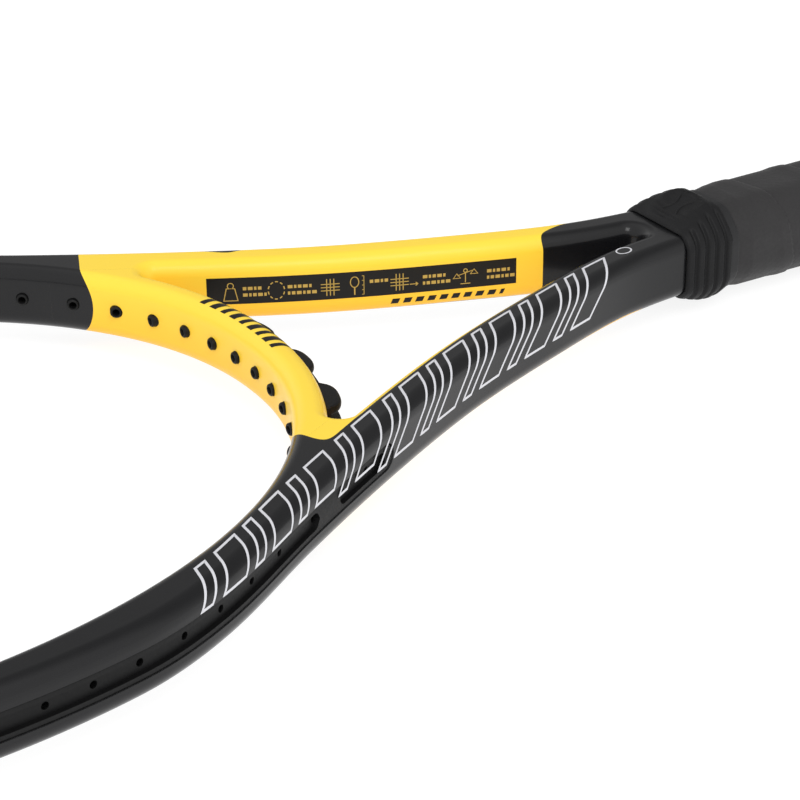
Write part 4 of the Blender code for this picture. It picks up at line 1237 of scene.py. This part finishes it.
class Print:
    """Flat ink shapes gathered into one mesh."""

    def __init__(self):
        self.v, self.f = [], []

    def strip(self, place, points, width, closed=True, step=0.7):
        q = dense(points, closed, step)
        n = len(q)
        if closed:
            d = np.roll(q, -1, 0) - np.roll(q, 1, 0)
            da, db = q - np.roll(q, 1, 0), np.roll(q, -1, 0) - q
        else:
            d = np.gradient(q, axis=0)
            da = np.vstack([q[1] - q[0], np.diff(q, axis=0)])
            db = np.vstack([np.diff(q, axis=0), q[-1] - q[-2]])
        na = np.stack([-da[:, 1], da[:, 0]], 1) / np.linalg.norm(da, axis=1)[:, None]
        nb = np.stack([-db[:, 1], db[:, 0]], 1) / np.linalg.norm(db, axis=1)[:, None]
        m = na + nb
        k = (width / 2) / np.maximum(0.45, (m * na).sum(1))
        m = m * k[:, None]
        self.grid(place, np.stack([q - m, q, q + m], 1), closed)

    def grid(self, place, q, closed=False):
        """q is rows x columns x 2; the sheet is closed along its rows if asked."""
        r, c = q.shape[:2]
        base = len(self.v)
        self.v += [tuple(p) for p in place(q.reshape(-1, 2))]
        for i in range(r if closed else r - 1):
            for j in range(c - 1):
                a, b = base + i * c + j, base + ((i + 1) % r) * c + j
                self.f.append((a, b, b + 1, a + 1))

    def patch(self, place, corners, step=0.8):
        """A filled four-cornered shape."""
        a, b, c, d = (np.array(p, float) for p in corners)
        nu = max(1, math.ceil(max(np.linalg.norm(b - a), np.linalg.norm(c - d)) / step))
        nv = max(1, math.ceil(max(np.linalg.norm(d - a), np.linalg.norm(c - b)) / step))
        u = np.linspace(0, 1, nu + 1)[:, None, None]
        v = np.linspace(0, 1, nv + 1)[None, :, None]
        self.grid(place, (1 - u) * (1 - v) * a + u * (1 - v) * b + u * v * c + (1 - u) * v * d)

    def make(self, name, mat, slot, toward):
        """toward(centre of a face) gives the side the ink faces."""
        bm = bmesh.new()
        vs = [bm.verts.new((p[0] * MM, p[1] * MM, p[2] * MM)) for p in self.v]
        for f in self.f:
            face = bm.faces.new([vs[i] for i in f])
            face.normal_update()
            c = face.calc_center_median() / MM
            if face.normal.dot(Vector(toward(c))) < 0:
                face.normal_flip()
            face.smooth = True
        mesh = bpy.data.meshes.new(name)
        bm.to_mesh(mesh)
        bm.free()
        mesh.materials.append(mat)
        return finish_piece(new_object(name, mesh), slot)


def skin_normal(c):
    return SKIN.normal(c[0], c[1], c[2])


def para(s, v0, v1, width, lean, round_r=0.0):
    """A slanted four-sided shape: s at its middle, from girth v0 to v1; corners rounded."""
    h = v1 - v0
    a = [(s - width / 2 - lean * h / 2, v0), (s + width / 2 - lean * h / 2, v0),
         (s + width / 2 + lean * h / 2, v1), (s - width / 2 + lean * h / 2, v1)]
    return rounded(a, round_r, 5) if round_r else a


def make_outlines():
    """Slanted bars in outline along the left arm: a wide one, then a narrow one."""
    ink = Print()
    place = on_arm(-1)
    pitch = 24.4
    for k in range(9):
        on_hoop = max(0.0, min(1.0, (k - 4) / 2))
        v0, v1 = -1.8 + 6.6 * on_hoop, 16.3
        lean = -0.95 + 0.2 * on_hoop
        s = 46.0 + pitch * k
        for start, width in ((0.0, 10.2), (12.2, 4.4)):
            ink.strip(place, para(s + start, v0, v1, width, lean), 0.8)
    ring = [(24.0 + 2.6 * math.cos(a), 15.5 + 2.0 * math.sin(a)) for a in np.linspace(0, 2 * math.pi, 24, endpoint=False)]
    ink.strip(place, ring, 0.5)
    ink.make("arm_outline_marks", M_SILVER, "frame_paint", skin_normal)


make_outlines()


def make_label():
    place = on_inside(1)
    S = lambda p: 140.2 - p                       # p runs from the head end of the panel towards the neck
    length = 94.0
    ink = Print()
    ink.patch(place, [(S(-3.2), -4.2), (S(length), -4.2), (S(length), 4.6), (S(-3.2), 4.9)])
    # slanted bars under the panel
    for k in range(10):
        w = 2.4 if k < 9 else 1.2
        p = 53.5 + 3.9 * k
        ink.patch(place, [(S(p), -7.6), (S(p + w), -7.6), (S(p + w + 0.7), -5.7), (S(p + 0.7), -5.7)])
    ink.make("arm_label_panel", M_BLACK_INK, "frame_paint", skin_normal)

    mark = Print()
    up = lambda q, lift=LIFT: place(q, 2 * LIFT)
    T = 0.28

    def line(*pts, closed=False, width=T):
        mark.strip(up, [(S(p), v) for p, v in pts], width, closed, 0.5)

    def circle(p, v, rx, ry=None, a0=0.0, a1=2 * math.pi, width=T):
        ry = ry or rx
        full = abs(a1 - a0 - 2 * math.pi) < 1e-6
        ang = np.linspace(a0, a1, 28, endpoint=not full)
        line(*[(p + rx * math.cos(a), v + ry * math.sin(a)) for a in ang], closed=full, width=width)

    def bars(p, n_top, n_low):
        """Two rows of short bars where the real panel has figures."""
        for row, n in ((1.05, n_top), (-1.15, n_low)):
            x = p
            for k in range(n):
                w = 0.75 + 0.35 * ((k * 7 + n) % 3)
                mark.patch(up, [(S(x), row - 0.55), (S(x + w), row - 0.55), (S(x + w), row + 0.55), (S(x), row + 0.55)])
                x += w + 0.45

    def grid(p, r):
        for d in (-0.8, 0.0, 0.8) if False else (-1.1, 0.0, 1.1):
            line((p + d, -r), (p + d, r))
            line((p - r, d), (p + r, d))

    # weight
    line((2.0, -3.0), (6.4, -3.0), (5.5, 1.2), (2.9, 1.2), closed=True)
    circle(4.2, 2.1, 0.95)
    bars(8.0, 4, 5)
    # head size
    for k in range(10):
        a = 2 * math.pi * k / 10
        circle(18.3, 0.0, 2.5, 3.0, a + 0.1, a + 0.45, 0.36)
    bars(21.8, 5, 6)
    # string pattern
    grid(34.8, 2.9)
    # length
    circle(42.3, 1.2, 1.3, 1.8)
    line((42.3, -0.6), (42.3, -3.2), width=0.4)
    line((45.2, 3.2), (45.2, -3.2), width=0.2)
    for v in (3.2, 1.6, 0.0, -1.6, -3.2):
        line((44.6, v), (45.2, v), width=0.2)
    bars(47.0, 4, 0)
    # tension
    grid(56.4, 2.9)
    line((59.6, -1.1), (62.2, -1.1))
    line((61.5, -0.5), (62.2, -1.1), (61.5, -1.7))
    bars(63.8, 5, 6)
    # balance
    line((75.0, 0.3), (80.2, 1.9), width=0.24)
    circle(77.6, 1.9, 0.6)
    line((77.6, 1.2), (77.6, -2.2))
    line((76.0, -2.6), (79.2, -2.6))
    line((73.6, -0.6), (74.8, 1.0), (76.0, -0.6), closed=True, width=0.2)
    line((79.2, 0.6), (80.4, 2.2), (81.6, 0.6), closed=True, width=0.2)
    bars(84.6, 5, 6)
    mark.make("arm_label_marks", M_GOLD_INK, "frame_paint", skin_normal)


make_label()


def make_bridge_marks():
    ink = Print()
    for k in range(9):
        x = 26.0 - 4.75 * k
        w = 2.9 if k % 2 else 2.2
        v0, v1 = 8.6, 15.4
        ink.patch(on_bridge, [(x - w / 2 - 0.9, v0), (x + w / 2 - 0.9, v0), (x + w / 2 + 0.9, v1), (x - w / 2 + 0.9, v1)], 0.6)
    ink.make("bridge_top_marks", M_BLACK_INK, "bridge_paint", skin_normal)


make_bridge_marks()


# ================================================================ floor, light, camera
def make_stage():
    g = Graph("pale_floor")
    tone = g.noise(3.0, 2.0, 0.5)
    colour = g.mix(tone, (0.24, 0.24, 0.24), (0.27, 0.27, 0.27))
    g.set(Base_Color=colour, Roughness=0.9)
    g.bsdf.inputs["Emission Color"].default_value = (1.0, 1.0, 1.0, 1.0)
    g.bsdf.inputs["Emission Strength"].default_value = 0.86
    g.bsdf.inputs["Specular IOR Level"].default_value = 0.1
    size, z = 9000.0, -18.35
    floor = build("studio_floor", [(-size, -size, z), (size, -size, z), (size, size, z), (-size, size, z)], [(0, 1, 2, 3)],
                  mats=(g.mat,), smooth=False, close=False)

    world = bpy.data.worlds.new("studio")
    bpy.context.scene.world = world
    world.use_nodes = True
    t = world.node_tree
    bg = t.nodes["Background"]
    coord = t.nodes.new("ShaderNodeTexCoord")
    # a bright tent with one dark side, so that dark lacquer shows where its surface turns
    dark = t.nodes.new("ShaderNodeVectorMath")
    dark.operation = "DOT_PRODUCT"
    t.links.new(coord.outputs["Generated"], dark.inputs[0])
    dark.inputs[1].default_value = Vector((0.45, -0.8, 0.4)).normalized()
    ramp = t.nodes.new("ShaderNodeMapRange")
    ramp.interpolation_type = "SMOOTHSTEP"
    t.links.new(dark.outputs["Value"], ramp.inputs["Value"])
    for name, value in (("From Min", 0.4), ("From Max", 0.82), ("To Min", 1.07), ("To Max", 0.4)):
        ramp.inputs[name].default_value = value
    t.links.new(ramp.outputs["Result"], bg.inputs["Strength"])
    bg.inputs["Color"].default_value = (1.0, 1.0, 1.0, 1.0)

    def softbox(name, place, target, sx, sy, power):
        light = bpy.data.lights.new(name, "AREA")
        light.shape, light.size, light.size_y, light.energy = "RECTANGLE", sx, sy, power
        obj = bpy.data.objects.new(name, light)
        bpy.context.scene.collection.objects.link(obj)
        obj.location = place
        obj.rotation_mode = "QUATERNION"
        obj.rotation_quaternion = (Vector(target) - Vector(place)).to_track_quat("-Z", "Y")
        return obj

    centre = (0.0, 0.3, 0.0)
    softbox("camera_side_softbox", (-1.3, 0.7, 1.6), centre, 0.9, 0.9, 13.0)


make_stage()


def make_camera():
    cam = bpy.data.cameras.new("camera")
    cam.sensor_width = 36.0
    cam.lens = 112.386
    cam.clip_start, cam.clip_end = 0.01, 50.0
    obj = bpy.data.objects.new("camera", cam)
    bpy.context.scene.collection.objects.link(obj)
    yaw, pitch, roll = (math.radians(a) for a in (-31.883796, -27.00353718, -0.47490327))
    forward = Vector((math.cos(yaw) * math.cos(pitch), math.sin(yaw) * math.cos(pitch), math.sin(pitch)))
    r0 = forward.cross(Vector((0, 0, 1))).normalized()
    u0 = r0.cross(forward)
    c, s = math.cos(roll), math.sin(roll)
    right, up = c * r0 + s * u0, -s * r0 + c * u0
    obj.matrix_world = Matrix(((right.x, up.x, -forward.x, -0.58785), (right.y, up.y, -forward.y, 0.65105),
                               (right.z, up.z, -forward.z, 0.32631), (0, 0, 0, 1)))
    bpy.context.scene.camera = obj


make_camera()
bpy.context.scene.view_settings.view_transform = "Standard"
